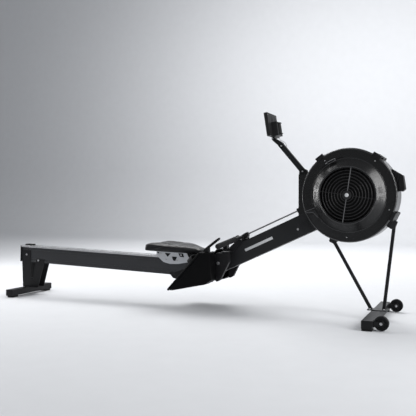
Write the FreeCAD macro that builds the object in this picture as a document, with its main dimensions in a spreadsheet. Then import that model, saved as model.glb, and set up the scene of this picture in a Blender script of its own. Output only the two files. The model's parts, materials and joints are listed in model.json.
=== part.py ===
"""Rowing machine with an air flywheel, a chain drive and a sliding seat, as a parametric document.

Millimetres, +Z up. +X runs from the tail of the rail to the flywheel, +Y to the rower's left.
The origin is on the floor, half way along the machine, in its plane of symmetry.
Places along the machine are stations, counted forward from the rear face of the rail's cap.
"""
import FreeCAD, Part
import math
import os
import re

import Sketcher

Vector = FreeCAD.Vector
Rotation = FreeCAD.Rotation
Placement = FreeCAD.Placement

# Driving dimensions: alias, value (mm, or degrees where the name says so), meaning.
SIZES = [
    ("overall_length", 2440, "tail cap to front bumper"),
    ("gap", 0.3, "running or seating clearance"),
    ("fit", 0.1, "radial clearance of a shaft or pin in its bore"),
    ("wall", 3, "wall of tubes and mouldings"),
    ("rail_length", 1294, "aluminium rail"),
    ("rail_front", 1294, "front end of the rail, from the rail's reference point"),
    ("rail_width", 52, "rail body across"),
    ("rail_depth", 97, "rail body from top to bottom"),
    ("rail_height", 312, "top of the rail body at its reference point, above the floor"),
    ("rail_fall_degrees", 1.78, "slope of the rail down towards the feet"),
    ("rail_wall", 5, "wall of the rail body"),
    ("track_width", 72, "steel track on the rail"),
    ("track_depth", 11, "steel track, top to bottom"),
    ("track_wall", 2, "wall of the hollow track"),
    ("cap_thickness", 6, "end cap of the rail"),
    ("beam_station", 1645, "reference point on the beam's centre line"),
    ("beam_height", 361.5, "reference point above the floor"),
    ("beam_rise_degrees", 24.8, "slope of the beam up to the flywheel"),
    ("beam_depth", 108, "beam section, top to bottom"),
    ("beam_width", 66, "beam section, across"),
    ("beam_tail", 335, "from the reference point back to the lower end"),
    ("fan_station", 2167, "flywheel axis"),
    ("fan_height", 643, "flywheel axis above the floor"),
    ("housing_radius", 242, "outside of the flywheel housing"),
    ("housing_half_width", 85, "from the middle plane to the flat face of a shell"),
    ("cone_outer_radius", 186, "foot of the raised cone"),
    ("cone_inner_radius", 143, "opening at the top of the cone"),
    ("cone_rise", 37, "the cone stands out from the face"),
    ("fan_radius", 214, "tips of the fan blades"),
    ("fan_blade_width", 44, "fan blades along the axle"),
    ("fan_blade_count", 24, "fan blades"),
    ("axle_radius", 8.5, "flywheel axle"),
    ("bearing_radius", 17.5, "axle bearings, outside"),
    ("sprocket_radius", 40, "outside of the drive sprocket"),
    ("sprocket_teeth", 20, "teeth"),
    ("chain_depth", 8, "chain, top to bottom"),
    ("chain_width", 7, "chain across"),
    ("guide_size", 24, "chain guide, outside"),
    ("chain_rise_degrees", 24.6, "slope of the chain at rest"),
    ("grille_pitch", 16, "radial step from ring to ring"),
    ("grille_wire", 2, "radius of a grille ring's section"),
    ("grille_rings", 7, "rings between the hub and the cone"),
    ("grille_hub_radius", 26, "plain disc in the middle of the grille"),
    ("damper_radius", 193, "middle of the damper slot"),
    ("damper_angle_degrees", 116, "damper lever at rest, from the forward direction upwards"),
    ("damper_swing_degrees", 16, "travel to each side"),
    ("neck_station", 1892, "rear face of the neck"),
    ("neck_top", 752, "top of the neck"),
    ("neck_width", 66, "neck across"),
    ("arm_station", 1909, "lower pivot of the monitor arm"),
    ("arm_height", 773, "lower pivot above the floor"),
    ("arm_pitch_degrees", 130.2, "direction of the arm, from the forward direction upwards"),
    ("arm_length", 200, "pivot to the end of the channel"),
    ("arm_depth", 28, "arm channel, top to bottom"),
    ("arm_width", 22, "arm channel, across"),
    ("tilt_reach", 248, "lower pivot to the tilt pin, along the arm"),
    ("tilt_offset", 10, "tilt pin beside the arm's line"),
    ("monitor_width", 164, "monitor across"),
    ("monitor_height", 128, "monitor, bottom to top"),
    ("monitor_depth", 19, "monitor, front to back"),
    ("monitor_lean_degrees", 8.9, "top of the monitor leans to the rower"),
    ("foot_station", 1171, "heel end of the footboards' face"),
    ("foot_height", 116, "heel end above the floor"),
    ("foot_pitch_degrees", 47.2, "slope of the footboards"),
    ("foot_length", 297, "footboard, heel to toe"),
    ("foot_inner", 64, "inner edge of a footboard from the middle plane"),
    ("foot_outer", 184, "outer edge of a footboard from the middle plane"),
    ("foot_thickness", 12, "footboard"),
    ("cheek_outer", 178, "outer face of a footboard's cheek"),
    ("side_plate_inner", 86, "inner face of a side plate of the foot assembly"),
    ("side_plate_outer", 108, "outer face of a side plate"),
    ("crossbar_radius", 9, "bar through the beam that carries the feet"),
    ("handle_station", 1562, "middle of the handle bar"),
    ("handle_height", 410, "middle of the handle bar above the floor"),
    ("handle_pitch_degrees", 34, "tilt of the handle on its rest"),
    ("handle_half_width", 232, "middle plane to the end of a grip"),
    ("handle_sweep", 74, "a grip's end lies this far behind the middle"),
    ("handle_middle", 58, "half of the straight middle of the bar"),
    ("handle_bar_radius", 10, "handle bar"),
    ("grip_radius", 15, "foam grip, outside"),
    ("seat_station", 990, "rear edge of the seat pad"),
    ("seat_length", 330, "seat pad along the rail"),
    ("seat_width", 262, "seat pad across"),
    ("seat_thickness", 36, "seat pad"),
    ("seat_nose_width", 96, "front end of the seat pad across"),
    ("carriage_inner", 42, "inner face of a carriage plate"),
    ("carriage_thickness", 3, "carriage plate"),
    ("roller_radius", 14, "upper seat roller"),
    ("roller_width", 16, "upper seat roller"),
    ("guide_radius", 9, "lower seat roller"),
    ("guide_width", 7, "lower seat roller"),
    ("rear_foot_station", 48, "rear cross foot, from the rail's tail"),
    ("rear_foot_width", 380, "rear cross foot, end to end"),
    ("front_foot_station", 2298, "front cross foot"),
    ("front_foot_width", 604, "front cross foot, end to end"),
    ("foot_tube_length", 50, "cross foot section along the machine"),
    ("foot_tube_depth", 38, "cross foot section, top to bottom"),
    ("pad_height", 11, "rubber pad under a cross foot"),
    ("wheel_radius", 35, "transport wheel"),
    ("wheel_width", 20, "transport wheel"),
    ("wheel_axle_radius", 5, "transport wheel's axle"),
    ("wheel_station", 2362, "transport wheel axis"),
    ("wheel_lift", 2.5, "the wheels clear the floor by this much"),
    ("wheel_half_track", 273, "middle plane to the middle of a wheel"),
    ("strut_width", 17, "front leg strut, seen from the side"),
    ("strut_thickness", 14, "front leg strut, across"),
    ("carrier_thickness", 4, "plate that carries the axle"),
    ("carrier_start", 7, "near face of the first carrier plate"),
]

doc = FreeCAD.newDocument("RowingMachine")
sheet = doc.addObject("Spreadsheet::Sheet", "Sizes")
for row, (alias, value, meaning) in enumerate(SIZES, start=1):
    sheet.set(f"A{row}", alias)
    sheet.set(f"B{row}", str(value))
    sheet.set(f"C{row}", meaning)
    sheet.setAlias(f"B{row}", alias)
doc.recompute()

NAMES = {alias for alias, _, _ in SIZES}
S = {alias: float(sheet.get(alias)) for alias in NAMES}
NODES = []
PADS = []
CROSS_BOLTS = []


# ---------------------------------------------------------------- helpers

def cells(formula):
    """The formula with each size's name turned into its spreadsheet cell."""
    return re.sub(r"[a-z_]+", lambda m: f"Sizes.{m.group(0)}" if m.group(0) in NAMES else m.group(0), str(formula))


def worth(formula):
    """The value of a formula of sizes."""
    return float(sheet.evalExpression(cells(formula)))


def bind(thing, **formulas):
    """Ties properties of an object to formulas of sizes."""
    for prop, formula in formulas.items():
        setattr(thing, prop, worth(formula))
        thing.setExpression(prop, cells(formula))
    return thing


def world(station, y, z, pitch=0.0):
    """A frame at a station, with its x axis pitched upwards from the forward direction."""
    return Placement(Vector(station - S["overall_length"] / 2, y, z), Rotation(Vector(0, 1, 0), -pitch))


def inside(frame, x=0.0, y=0.0, z=0.0, turn=None):
    """A place given inside another frame."""
    return frame.multiply(Placement(Vector(x, y, z), turn or Rotation()))


ALONG_Y = Rotation(Vector(1, 0, 0), -90)
ALONG_X = Rotation(Vector(0, 1, 0), 90)


def box(name, length, width, height, place):
    """A block centred on its place in x and y, with its underside at the place."""
    made = bind(doc.addObject("Part::Box", name), Length=length, Width=width, Height=height)
    made.Placement = inside(place, -worth(length) / 2, -worth(width) / 2, 0)
    return made


def rod(name, radius, height, place):
    """A cylinder across the machine, centred on its place."""
    made = bind(doc.addObject("Part::Cylinder", name), Radius=radius, Height=height)
    made.Placement = inside(place, 0, -worth(height) / 2, 0, ALONG_Y)
    return made


def cut(name, base, *tools):
    """The base less the tools."""
    tool = tools[0] if len(tools) == 1 else fuse(name + "_tools", *tools)
    made = doc.addObject("Part::Cut", name)
    made.Base, made.Tool = base, tool
    return made


def fuse(name, *pieces):
    """One solid from touching or overlapping pieces."""
    made = doc.addObject("Part::MultiFuse", name)
    made.Shapes = list(pieces)
    return made


def group(name, *pieces):
    """Several separate solids that share a node."""
    made = doc.addObject("Part::Compound", name)
    made.Links = list(pieces)
    return made


def ring(name, outer, inner, height, place):
    """A tube across the machine, centred on its place."""
    return cut(name, rod(name + "_outer", outer, height, place), rod(name + "_bore", inner, f"{height} + 2", place))


def new_body(name, role):
    """A body with an empty sketch on one of its own origin planes."""
    body = doc.addObject("PartDesign::Body", name)
    sketch = body.newObject("Sketcher::SketchObject", name + "_sketch")
    plane = next(item for item in body.Origin.OriginFeatures if item.Role == role)
    sketch.AttachmentSupport = (plane, [""])
    sketch.MapMode = "FlatFace"
    return body, sketch


def draw(sketch, corners):
    """Draws a closed outline; a corner given as formulas of sizes stays tied to them."""
    spots = [Vector(worth(x), worth(y), 0) for x, y in corners]
    count = len(spots)
    first = sketch.GeometryCount
    for i in range(count):
        sketch.addGeometry(Part.LineSegment(spots[i], spots[(i + 1) % count]), False)
    for i in range(count):
        following = first + (i + 1) % count
        sketch.addConstraint(Sketcher.Constraint("Coincident", first + i, 2, following, 1))
    for i, corner in enumerate(corners):
        for kind, formula, value in zip(("DistanceX", "DistanceY"), corner, (spots[i].x, spots[i].y)):
            index = sketch.addConstraint(Sketcher.Constraint(kind, -1, 1, first + i, 1, value))
            if isinstance(formula, str):
                sketch.setExpression(f"Constraints[{index}]", cells(formula))


def hole(sketch, x, y, radius):
    """Adds a round hole to an outline."""
    index = sketch.addGeometry(Part.Circle(Vector(worth(x), worth(y), 0), Vector(0, 0, 1), worth(radius)), False)
    for kind, formula in (("DistanceX", x), ("DistanceY", y)):
        tied = sketch.addConstraint(Sketcher.Constraint(kind, -1, 1, index, 3, worth(formula)))
        sketch.setExpression(f"Constraints[{tied}]", cells(formula))
    tied = sketch.addConstraint(Sketcher.Constraint("Radius", index, worth(radius)))
    sketch.setExpression(f"Constraints[{tied}]", cells(radius))


def slab(name, corners, thickness, place, role="XZ_Plane", holes=(), rounding=None):
    """An outline padded evenly to both sides of its plane."""
    body, sketch = new_body(name, role)
    draw(sketch, corners)
    for x, y, radius in holes:
        hole(sketch, x, y, radius)
    pad = body.newObject("PartDesign::Pad", name + "_pad")
    pad.Profile = (sketch, [""])
    pad.SideType = "Symmetric"
    bind(pad, Length=thickness)
    body.Placement = place
    if rounding:
        doc.recompute()
        round_edges(body, pad, rounding, worth(thickness))
    return body


def round_edges(body, pad, radius, thickness):
    """Rounds the corners of an outline: the straight edges that run through its thickness."""
    edges = []
    for number, edge in enumerate(pad.Shape.Edges, start=1):
        if isinstance(edge.Curve, Part.Line) and abs(edge.Length - thickness) < 0.001:
            start, end = (vertex.Point for vertex in edge.Vertexes)
            if abs(abs((end - start).dot(Vector(0, 1, 0))) - thickness) < 0.001 or body.Label.startswith("seat"):
                edges.append(f"Edge{number}")
    fillet = body.newObject("PartDesign::Fillet", body.Label + "_round")
    fillet.Base = (pad, edges)
    bind(fillet, Radius=radius)


def hollow(body, wall, direction):
    """Hollows a body from the face that looks in the given direction."""
    doc.recompute()
    tip = body.Tip
    faces = [f"Face{i}" for i, face in enumerate(tip.Shape.Faces, start=1)
             if isinstance(face.Surface, Part.Plane) and face.normalAt(0, 0).dot(direction) > 0.999]
    shell = body.newObject("PartDesign::Thickness", body.Label + "_hollow")
    shell.Base = (tip, faces)
    bind(shell, Value=wall)
    shell.Reversed = True


def turned(name, profile, place):
    """A profile of (radius, distance along the axis) turned about the body's y axis."""
    body, sketch = new_body(name, "XY_Plane")
    draw(sketch, profile)
    made = body.newObject("PartDesign::Revolution", name + "_turned")
    made.Profile = (sketch, [""])
    made.ReferenceAxis = (sketch, ["V_Axis"])
    made.Angle = 360
    body.Placement = place
    return body


def node(thing, label):
    """Marks an object as a sub-part, under the name of its file."""
    thing.Label = label
    NODES.append(thing)
    return thing


def pair(maker, name, offset):
    """The same piece at both sides of the middle plane."""
    return [maker(f"{name}_{side}", sign * offset, sign) for side, sign in (("right", -1), ("left", 1))]


# ---------------------------------------------------------------- frames

TAIL_LEAN = (S["rail_depth"] * math.sin(math.radians(S["rail_fall_degrees"]))
             + S["cap_thickness"] * math.cos(math.radians(S["rail_fall_degrees"])))
RAIL = world(TAIL_LEAN, 0, S["rail_height"], -S["rail_fall_degrees"])
BEAM = world(S["beam_station"], 0, S["beam_height"], S["beam_rise_degrees"])
FAN = world(S["fan_station"], 0, S["fan_height"])
CHAIN = world(S["fan_station"], 0, S["fan_height"], S["chain_rise_degrees"])
ARM = world(S["arm_station"], 0, S["arm_height"], S["arm_pitch_degrees"])
TILT_AT = inside(ARM, S["tilt_reach"], 0, S["tilt_offset"]).Base
MONITOR = Placement(TILT_AT, Rotation(Vector(0, 1, 0), -S["monitor_lean_degrees"]))
BOARD = world(S["foot_station"], 0, S["foot_height"], S["foot_pitch_degrees"])
HANDLE = world(S["handle_station"], 0, S["handle_height"], S["handle_pitch_degrees"])


# The rail grows and shrinks at its tail, so the tail, its leg and its stops move together.
TAIL_X = S["rail_front"] - S["rail_length"]
REAR_FOOT = TAIL_X + S["rear_foot_station"]


def beam_x(station):
    """Distance along the beam to the point of its centre line at a station."""
    return (station - S["beam_station"]) / math.cos(math.radians(S["beam_rise_degrees"]))


def in_frame(frame, station, height):
    """A point of the middle plane, given by station and height, in a frame's own x and z."""
    local = frame.inverse().multVec(Vector(station - S["overall_length"] / 2, 0, height))
    return local.x, local.z


# Named places that several pieces share.
CROSSBAR_AT = (1454.0, 268.0)
LEAD_RADIUS = 1.6
CHAIN_LIFT = S["sprocket_radius"] + S["gap"] + S["chain_depth"] / 2
CONNECTOR_FRONT = -608.0
REAR_STRUT_TOP, REAR_STRUT_FOOT = (2068.0, 407.0), (2266.0, 52.0)
FRONT_STRUT_TOP, FRONT_STRUT_FOOT = (2381.0, 486.0), (2331.0, 52.0)
STRUT_Y = S["carrier_start"] + S["carrier_thickness"] + (S["strut_thickness"] + 2 * S["gap"]) / 2
CARRIER_GAP = S["strut_thickness"] + 2 * S["gap"]
TOP_ROLLERS_X = (1052.0, 1186.0)
GUIDE_ROLLERS_X = (1086.0, 1158.0)
ROLLER_Z = S["track_depth"] + S["gap"] / 3 + S["roller_radius"]
GUIDE_Z = -(S["gap"] / 3 + S["guide_radius"])
BASE_Z = ROLLER_Z + S["roller_radius"] + 1.0
PAD_Z = BASE_Z + 4.0 + S["gap"]
BASE_FRONT = 1250.0


# ---------------------------------------------------------------- rail and its supports

def build_rail():
    """The extruded rail, its steel track, end cap and stops."""
    middle = inside(RAIL, S["rail_front"] - S["rail_length"] / 2)
    lower = inside(middle, 0, 0, -S["rail_depth"])
    body = box("rail_block", "rail_length", "rail_width", "rail_depth", lower)
    hollow_z = S["rail_wall"]
    core = box("rail_core", "rail_length + 2", "rail_width - 2 * rail_wall", "rail_depth - 2 * rail_wall",
               inside(lower, 0, 0, hollow_z))
    node(cut("rail_cut", body, core), "rail")
    track = box("track_block", "rail_length", "track_width", "track_depth", middle)
    hollow = box("track_core", "rail_length + 2", "track_width - 2 * track_wall", "track_depth - 2 * track_wall",
                 inside(middle, 0, 0, S["track_wall"]))
    node(cut("track_cut", track, hollow), "rail_track")
    cap = box("cap_block", "cap_thickness", "track_width", "rail_depth + track_depth",
              inside(RAIL, TAIL_X - S["cap_thickness"] / 2, 0, -S["rail_depth"]))
    node(cap, "rail_end_cap")
    rear = box("rear_stop", 54, 40, 9, inside(RAIL, TAIL_X + 47, 0, S["track_depth"]))
    front = box("front_stop", 22, 38, f"{BASE_Z + 3} - track_depth",
                inside(RAIL, BASE_FRONT + S["gap"] + 11, 0, S["track_depth"]))
    node(group("stops", rear, front), "rail_stops")


def build_rail_saddle():
    """Two side plates and a floor that join the rail's front end to the beam."""
    outline = [(1106, 196), (1136, 163), (1290, 128), (1360, 142), (1402, 190), (1388, 262), (1322, 258), (1290, 205)]
    corners = [(x - S["beam_station"], z) for x, z in outline]
    frame = world(S["beam_station"], 0, 0)

    def plate(name, y, sign):
        return slab(name, corners, "wall", inside(frame, 0, y, 0), rounding=6)

    plates = pair(plate, "saddle_plate", S["beam_width"] / 2 + S["wall"] / 2 + S["gap"])
    floor = box("saddle_floor", 150, "beam_width + 2 * gap + 0.2", 5,
                inside(RAIL, 1205, 0, -S["rail_depth"] - 5 - S["gap"]))
    node(fuse("saddle_fused", *plates, floor), "rail_saddle")


def foot_tube(name, width, place):
    """A hollow cross foot, open at its ends."""
    outer = box(name + "_outer", "foot_tube_length", width, "foot_tube_depth", place)
    core = box(name + "_core", "foot_tube_length - 2 * wall", f"{width} + 2", "foot_tube_depth - 2 * wall",
               inside(place, 0, 0, S["wall"]))
    return cut(name, outer, core)


def build_rear_leg():
    """The V-shaped leg plates, cross foot and pads at the tail."""
    frame = world(TAIL_X, 0, 0)
    top = S["pad_height"] + S["foot_tube_depth"]
    corners = [(9, 290), (17, top), (142, top), (196, 234), (127, 234), (100, 110), (84, 110), (80, 290)]

    def plate(name, y, sign):
        return slab(name, corners, "wall", inside(frame, 0, y, 0))

    plates = pair(plate, "leg_plate", S["rail_width"] / 2 + S["gap"] + S["wall"] / 2)
    sole = box("leg_sole", 125, "rail_width + 2 * gap + 1", "wall", world(TAIL_X + 79.5, 0, top))
    node(fuse("rear_leg_fused", *plates, sole), "rear_leg")
    foot = world(REAR_FOOT, 0, S["pad_height"])
    bar = foot_tube("rear_bar", "rear_foot_width", foot)
    node(bar, "rear_cross_foot")
    half = S["rear_foot_width"] / 2 - 30
    pads = [box(f"rear_pad_{i}", "foot_tube_length - 4", 50, "pad_height", world(REAR_FOOT, y, 0))
            for i, y in enumerate((-half, half))]
    PADS.extend(pads)


# ---------------------------------------------------------------- beam, neck and chain

def build_beam():
    """The box-section beam from the rail up to the flywheel housing."""
    head = beam_x(2010)
    length = head + S["beam_tail"]
    place = inside(BEAM, (head - S["beam_tail"]) / 2, 0, -S["beam_depth"] / 2)
    outer = doc.addObject("Part::Box", "beam_outer")
    bind(outer, Width="beam_width", Height="beam_depth")
    outer.Length = length
    outer.Placement = inside(place, -length / 2, -S["beam_width"] / 2)
    inner = doc.addObject("Part::Box", "beam_inner")
    bind(inner, Width="beam_width - 2 * wall", Height="beam_depth - 2 * wall")
    inner.Length = length + 2
    inner.Placement = inside(place, -length / 2 - 1, -S["beam_width"] / 2 + S["wall"], S["wall"])
    rim = rod("beam_rim_cut", "housing_radius + 2 * gap", "2 * housing_half_width", FAN)
    bore = rod("beam_crossbar_bore", "crossbar_radius + fit", "beam_width + 4",
               world(CROSSBAR_AT[0], 0, CROSSBAR_AT[1]))
    node(cut("beam_cut", outer, inner, rim, bore), "main_beam")


def build_neck():
    """The hollow neck between the beam and the monitor bracket, with its chain window."""
    bottom_x = S["neck_station"]
    slope = math.tan(math.radians(S["beam_rise_degrees"]))
    rise = S["beam_depth"] / 2 / math.cos(math.radians(S["beam_rise_degrees"]))

    def beam_top(station):
        return S["beam_height"] + (station - S["beam_station"]) * slope + rise + S["gap"]

    front = bottom_x + 80
    corners = [(0, beam_top(bottom_x)), (80, beam_top(front)), (80, S["neck_top"]), (0, S["neck_top"])]
    outer = slab("neck_outer", corners, "neck_width", world(bottom_x, 0, 0))
    wall = S["wall"]
    inner_corners = [(wall, beam_top(bottom_x) - 9), (90, beam_top(front) - 9), (90, S["neck_top"] - wall),
                     (wall, S["neck_top"] - wall)]
    inner = slab("neck_inner", inner_corners, "neck_width - 2 * wall", world(bottom_x, 0, 0))
    rim = rod("neck_rim_cut", "housing_radius + 2 * gap", "2 * housing_half_width", FAN)
    window = box("neck_window", 60, "guide_size + 2 * gap", "guide_size + 2 * gap",
                 inside(CHAIN, *window_centre(bottom_x)))
    node(cut("neck_cut", outer, inner, rim, window), "neck_cover")


def window_centre(station):
    """The chain's centre at a station, lowered by half of the window, in the chain's frame."""
    rise = math.radians(S["chain_rise_degrees"])
    x = (station - S["fan_station"] + CHAIN_LIFT * math.sin(rise)) / math.cos(rise)
    return x, 0, CHAIN_LIFT - S["guide_size"] / 2 - S["gap"]


def build_chain():
    """The chain from the handle's connector to the sprocket, and the guide that it runs out through."""
    length = -CONNECTOR_FRONT
    place = inside(CHAIN, CONNECTOR_FRONT / 2, 0, CHAIN_LIFT - S["chain_depth"] / 2)
    run = doc.addObject("Part::Box", "chain_block")
    bind(run, Width="chain_width", Height="chain_depth")
    run.Length = length
    run.Placement = inside(place, -length / 2, -S["chain_width"] / 2)
    node(run, "chain_run")
    x, _, z = window_centre(S["neck_station"])
    guide_at = inside(CHAIN, x - 4, 0, z + S["guide_size"] / 2 + S["gap"])
    block = box("guide_block", 22, "guide_size", "guide_size", inside(guide_at, 0, 0, -S["guide_size"] / 2))
    slot = box("guide_slot", 26, "chain_width + 4 * gap + 4", "chain_depth + 4", inside(guide_at, 0, 0, -6))
    node(cut("guide_cut", block, slot), "chain_guide")


# ---------------------------------------------------------------- flywheel housing

def shell_profile(cone):
    """Radius and depth of a housing shell, from the seam outwards and back along the inside."""
    edge, face, wall = "housing_radius", "housing_half_width", "wall"
    outline = [(edge, "gap"), (edge, f"{face} - 5"), (f"{edge} - 5", face)]
    if cone:
        outline += [("cone_outer_radius", face), ("cone_inner_radius + 4", f"{face} + cone_rise"),
                    ("cone_inner_radius", f"{face} + cone_rise"), ("cone_inner_radius", f"{face} + cone_rise - 4"),
                    (f"cone_outer_radius - {wall}", f"{face} - {wall}")]
    else:
        outline += [("66", face), ("66", f"{face} + 3"), ("58", f"{face} + 9"), ("0", f"{face} + 9"),
                    ("0", f"{face} + 6"), ("56", f"{face} + 6"), ("60", f"{face} - {wall}")]
    return outline + [(f"{edge} - 6", f"{face} - {wall}"), (f"{edge} - {wall}", f"{face} - 6"),
                      (f"{edge} - {wall}", "gap")]


def rim_openings(name):
    """Blocks that open the rims for the chain, the carrier's tongue and the two strut lugs."""
    tongue = beam_x(1960)
    return [
        box(name + "_chain", 90, 26, 26, inside(CHAIN, -S["housing_radius"] + 4, 0, CHAIN_LIFT - 13)),
        box(name + "_tongue", 140, "beam_width - 2 * wall", 92, inside(BEAM, tongue, 0, -46)),
        strut_block(name + "_rear", REAR_STRUT_TOP, REAR_STRUT_FOOT, 90),
        strut_block(name + "_front", FRONT_STRUT_TOP, FRONT_STRUT_FOOT, 90),
    ]


def strut_block(name, top, foot, length):
    """A block about a strut's upper end that clears the strut and both carrier plates."""
    pitch = math.degrees(math.atan2(top[1] - foot[1], top[0] - foot[0]))
    width = f"strut_thickness + 2 * gap + 2 * carrier_thickness + 2"
    return box(name, length, width, 76, inside(world(top[0], STRUT_Y, top[1], pitch), 0, 0, -38))


def build_housing():
    """Two turned shells that meet near the middle plane."""
    near = turned("near_turned", shell_profile(True), inside(FAN, 0, 0, 0, Rotation(Vector(1, 0, 0), 180)))
    slot = damper_sector("slot", "damper_radius + 5 + gap", "damper_radius - 5 - gap",
                         2 * S["damper_swing_degrees"] + 6, -S["housing_half_width"] - 2, 7)
    node(cut("near_cut", near, slot, *rim_openings("near")), "housing_near_shell")
    far = turned("far_turned", shell_profile(False), FAN)
    node(cut("far_cut", far, *rim_openings("far")), "housing_far_shell")


def damper_sector(name, outer, inner, angle, y, depth):
    """Part of a ring about the fan's axis, centred on the damper lever's direction."""
    end = S["damper_angle_degrees"] + angle / 2
    turn = Rotation(Vector(0, 1, 0), -end).multiply(ALONG_Y)
    wedge = bind(doc.addObject("Part::Cylinder", name + "_outer"), Radius=outer)
    wedge.Height, wedge.Angle = depth, angle
    wedge.Placement = Placement(FAN.Base + Vector(0, y, 0), turn)
    core = bind(doc.addObject("Part::Cylinder", name + "_inner"), Radius=inner)
    core.Height = depth + 2
    core.Placement = Placement(FAN.Base + Vector(0, y - 1, 0), turn)
    return cut(name + "_sector", wedge, core)


def build_damper():
    """The damper ring behind the housing face and its lever through the slot."""
    face = S["housing_half_width"] - S["wall"] - S["gap"]
    plate = ring("damper_plate", "damper_radius + 9", "damper_radius - 9", 3, inside(FAN, 0, -face + 1.5, 0))
    out = inside(FAN, 0, 0, 0, Rotation(Vector(0, 1, 0), -S["damper_angle_degrees"]))
    at = inside(out, S["damper_radius"], 0, 0)
    post = box("damper_post", 9, 19, 12, inside(at, 0, -face - 6.5, -6))
    lever = box("damper_lever", 9, 8, 42, inside(at, 0, -face - 14, -21))
    node(fuse("damper_fused", plate, post, lever), "damper_ring")


def build_grille():
    """Concentric rings on two radial ribs, with a plain disc in the middle."""
    depth = S["housing_half_width"] + S["cone_rise"] - 4 + S["grille_wire"]
    at = inside(FAN, 0, -depth, 0)
    pieces = []
    for i in range(int(S["grille_rings"])):
        torus = doc.addObject("Part::Torus", f"grille_ring_{i}")
        bind(torus, Radius1=f"cone_inner_radius - grille_wire - 1 - grille_pitch * {i}", Radius2="grille_wire")
        torus.Placement = inside(at, 0, 0, 0, ALONG_Y)
        pieces.append(torus)
    hub = rod("grille_hub", "grille_hub_radius", 6, at)
    lean = Rotation(Vector(0, 1, 0), 8.5)
    long_rib = box("grille_rib_long", 5, 3, "2 * cone_inner_radius - 2",
                   inside(at, 0, 0, 0, lean).multiply(Placement(Vector(0, 0, -S["cone_inner_radius"] + 1), Rotation())))
    cross_rib = box("grille_rib_cross", "2 * cone_inner_radius - 2", 3, 5,
                    inside(at, 0, 1.5, 0, lean).multiply(Placement(Vector(0, 0, -2.5), Rotation())))
    node(fuse("grille_fused", *pieces, hub, long_rib, cross_rib), "fan_grille")


def build_flywheel():
    """The fan: a steel disc with radial blades, and the axle it turns with."""
    start = -14.0
    disc = turned("fan_disc", [("axle_radius + fit", start), ("34", start), ("34", start - 10), ("150", start - 10),
                               ("150", start - 22), ("34", start - 22), ("34", start - 40),
                               ("axle_radius + fit", start - 40)], FAN)
    blades = []
    count = int(S["fan_blade_count"])
    for i in range(count):
        spoke = inside(FAN, 0, 0, 0, Rotation(Vector(0, 1, 0), 360 * i / count))
        blade = box(f"fan_blade_{i}", "fan_radius - 120", "fan_blade_width", 2.5,
                    inside(spoke, (S["fan_radius"] + 120) / 2, start - 6 - S["fan_blade_width"] / 2, -1.25))
        blades.append(blade)
    node(fuse("fan_fused", disc, *blades), "flywheel")
    node(rod("axle_rod", "axle_radius", 112, inside(FAN, 0, -19, 0)), "fan_axle")


def build_sprocket():
    """The chain sprocket, with a seat for each roller of the chain."""
    body = ring("sprocket_blank", "sprocket_radius", "axle_radius + fit", 5, FAN)
    count = int(S["sprocket_teeth"])
    seats = []
    for i in range(count):
        spoke = inside(FAN, 0, 0, 0, Rotation(Vector(0, 1, 0), 360 * i / count))
        seats.append(rod(f"roller_seat_{i}", 4, 8, inside(spoke, S["sprocket_radius"] + 1, 0, 0)))
    node(cut("sprocket_cut", body, *seats), "sprocket")


def build_carrier():
    """Two plates that carry the axle, reach into the beam and hold the front struts."""
    ends = ((1905, 44), (1985, 44), (1985, -44), (1905, -44))
    tongue = [inside(BEAM, beam_x(s), 0, z).Base + Vector(S["overall_length"] / 2, 0, 0) for s, z in ends]
    fan_x, fan_z = S["fan_station"], S["fan_height"]
    upper = [(fan_x - 30, fan_z + 42), (fan_x + 30, fan_z + 42), (2398, 506), (2385, 470), (2366, 470)]
    lower = [(fan_x + 22, fan_z - 56), (2092, 402), (2078, 384), (2048, 398), (2062, 470)]
    back, front = [(point.x, point.z) for point in tongue[:2]], [(point.x, point.z) for point in tongue[2:]]
    outline = back + upper + lower + front
    corners = [(x - fan_x, z - fan_z) for x, z in outline]
    plates = []
    for i in range(2):
        y = S["carrier_start"] + S["carrier_thickness"] / 2 + i * (CARRIER_GAP + S["carrier_thickness"])
        plates.append(slab(f"carrier_{i}", corners, "carrier_thickness", inside(FAN, 0, y, 0),
                           holes=[("0", "0", "bearing_radius + gap / 3")]))
    node(group("carriers", *plates), "axle_carrier")
    rings = []
    for i in range(2):
        y = S["carrier_start"] + S["carrier_thickness"] / 2 + i * (CARRIER_GAP + S["carrier_thickness"])
        rings.append(ring(f"bearing_{i}", "bearing_radius", "axle_radius + fit / 2", 8, inside(FAN, 0, y, 0)))
    node(group("bearings", *rings), "fan_bearings")


def build_clips():
    """Clips that hold the shells together at the rim, and the block at the front."""
    clips = []
    for i, angle in enumerate((127, 54, -26)):
        spoke = inside(FAN, 0, 0, 0, Rotation(Vector(0, 1, 0), -angle))
        at = inside(spoke, S["housing_radius"] + S["gap"], 0, 0)
        foot = box(f"clip_{i}_foot", 9, 70, 52, inside(at, 4.5, 0, -26))
        saddle = rod(f"clip_{i}_rim", "housing_radius + gap", 90, FAN)
        wide = box(f"clip_{i}_wide", 14, 70, 52, inside(at, 0, 0, -26))
        notch = strut_block(f"clip_{i}_notch", FRONT_STRUT_TOP, FRONT_STRUT_FOOT, 120)
        clips.append(cut(f"clip_{i}", fuse(f"clip_{i}_fused", foot, wide), saddle, notch))
    node(group("clips", *clips), "housing_clips")
    reach = S["overall_length"] - S["fan_station"]
    outline = [(205, 134), (reach - 10, 98), (reach, 30), (reach - 13, 18), (230, 20)]
    front = slab("bumper_outline", outline, 56, FAN)
    rim = rod("bumper_rim_cut", "housing_radius + gap", 90, FAN)
    node(cut("bumper_cut", front, rim), "front_bumper")


# ---------------------------------------------------------------- front legs and wheels

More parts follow.
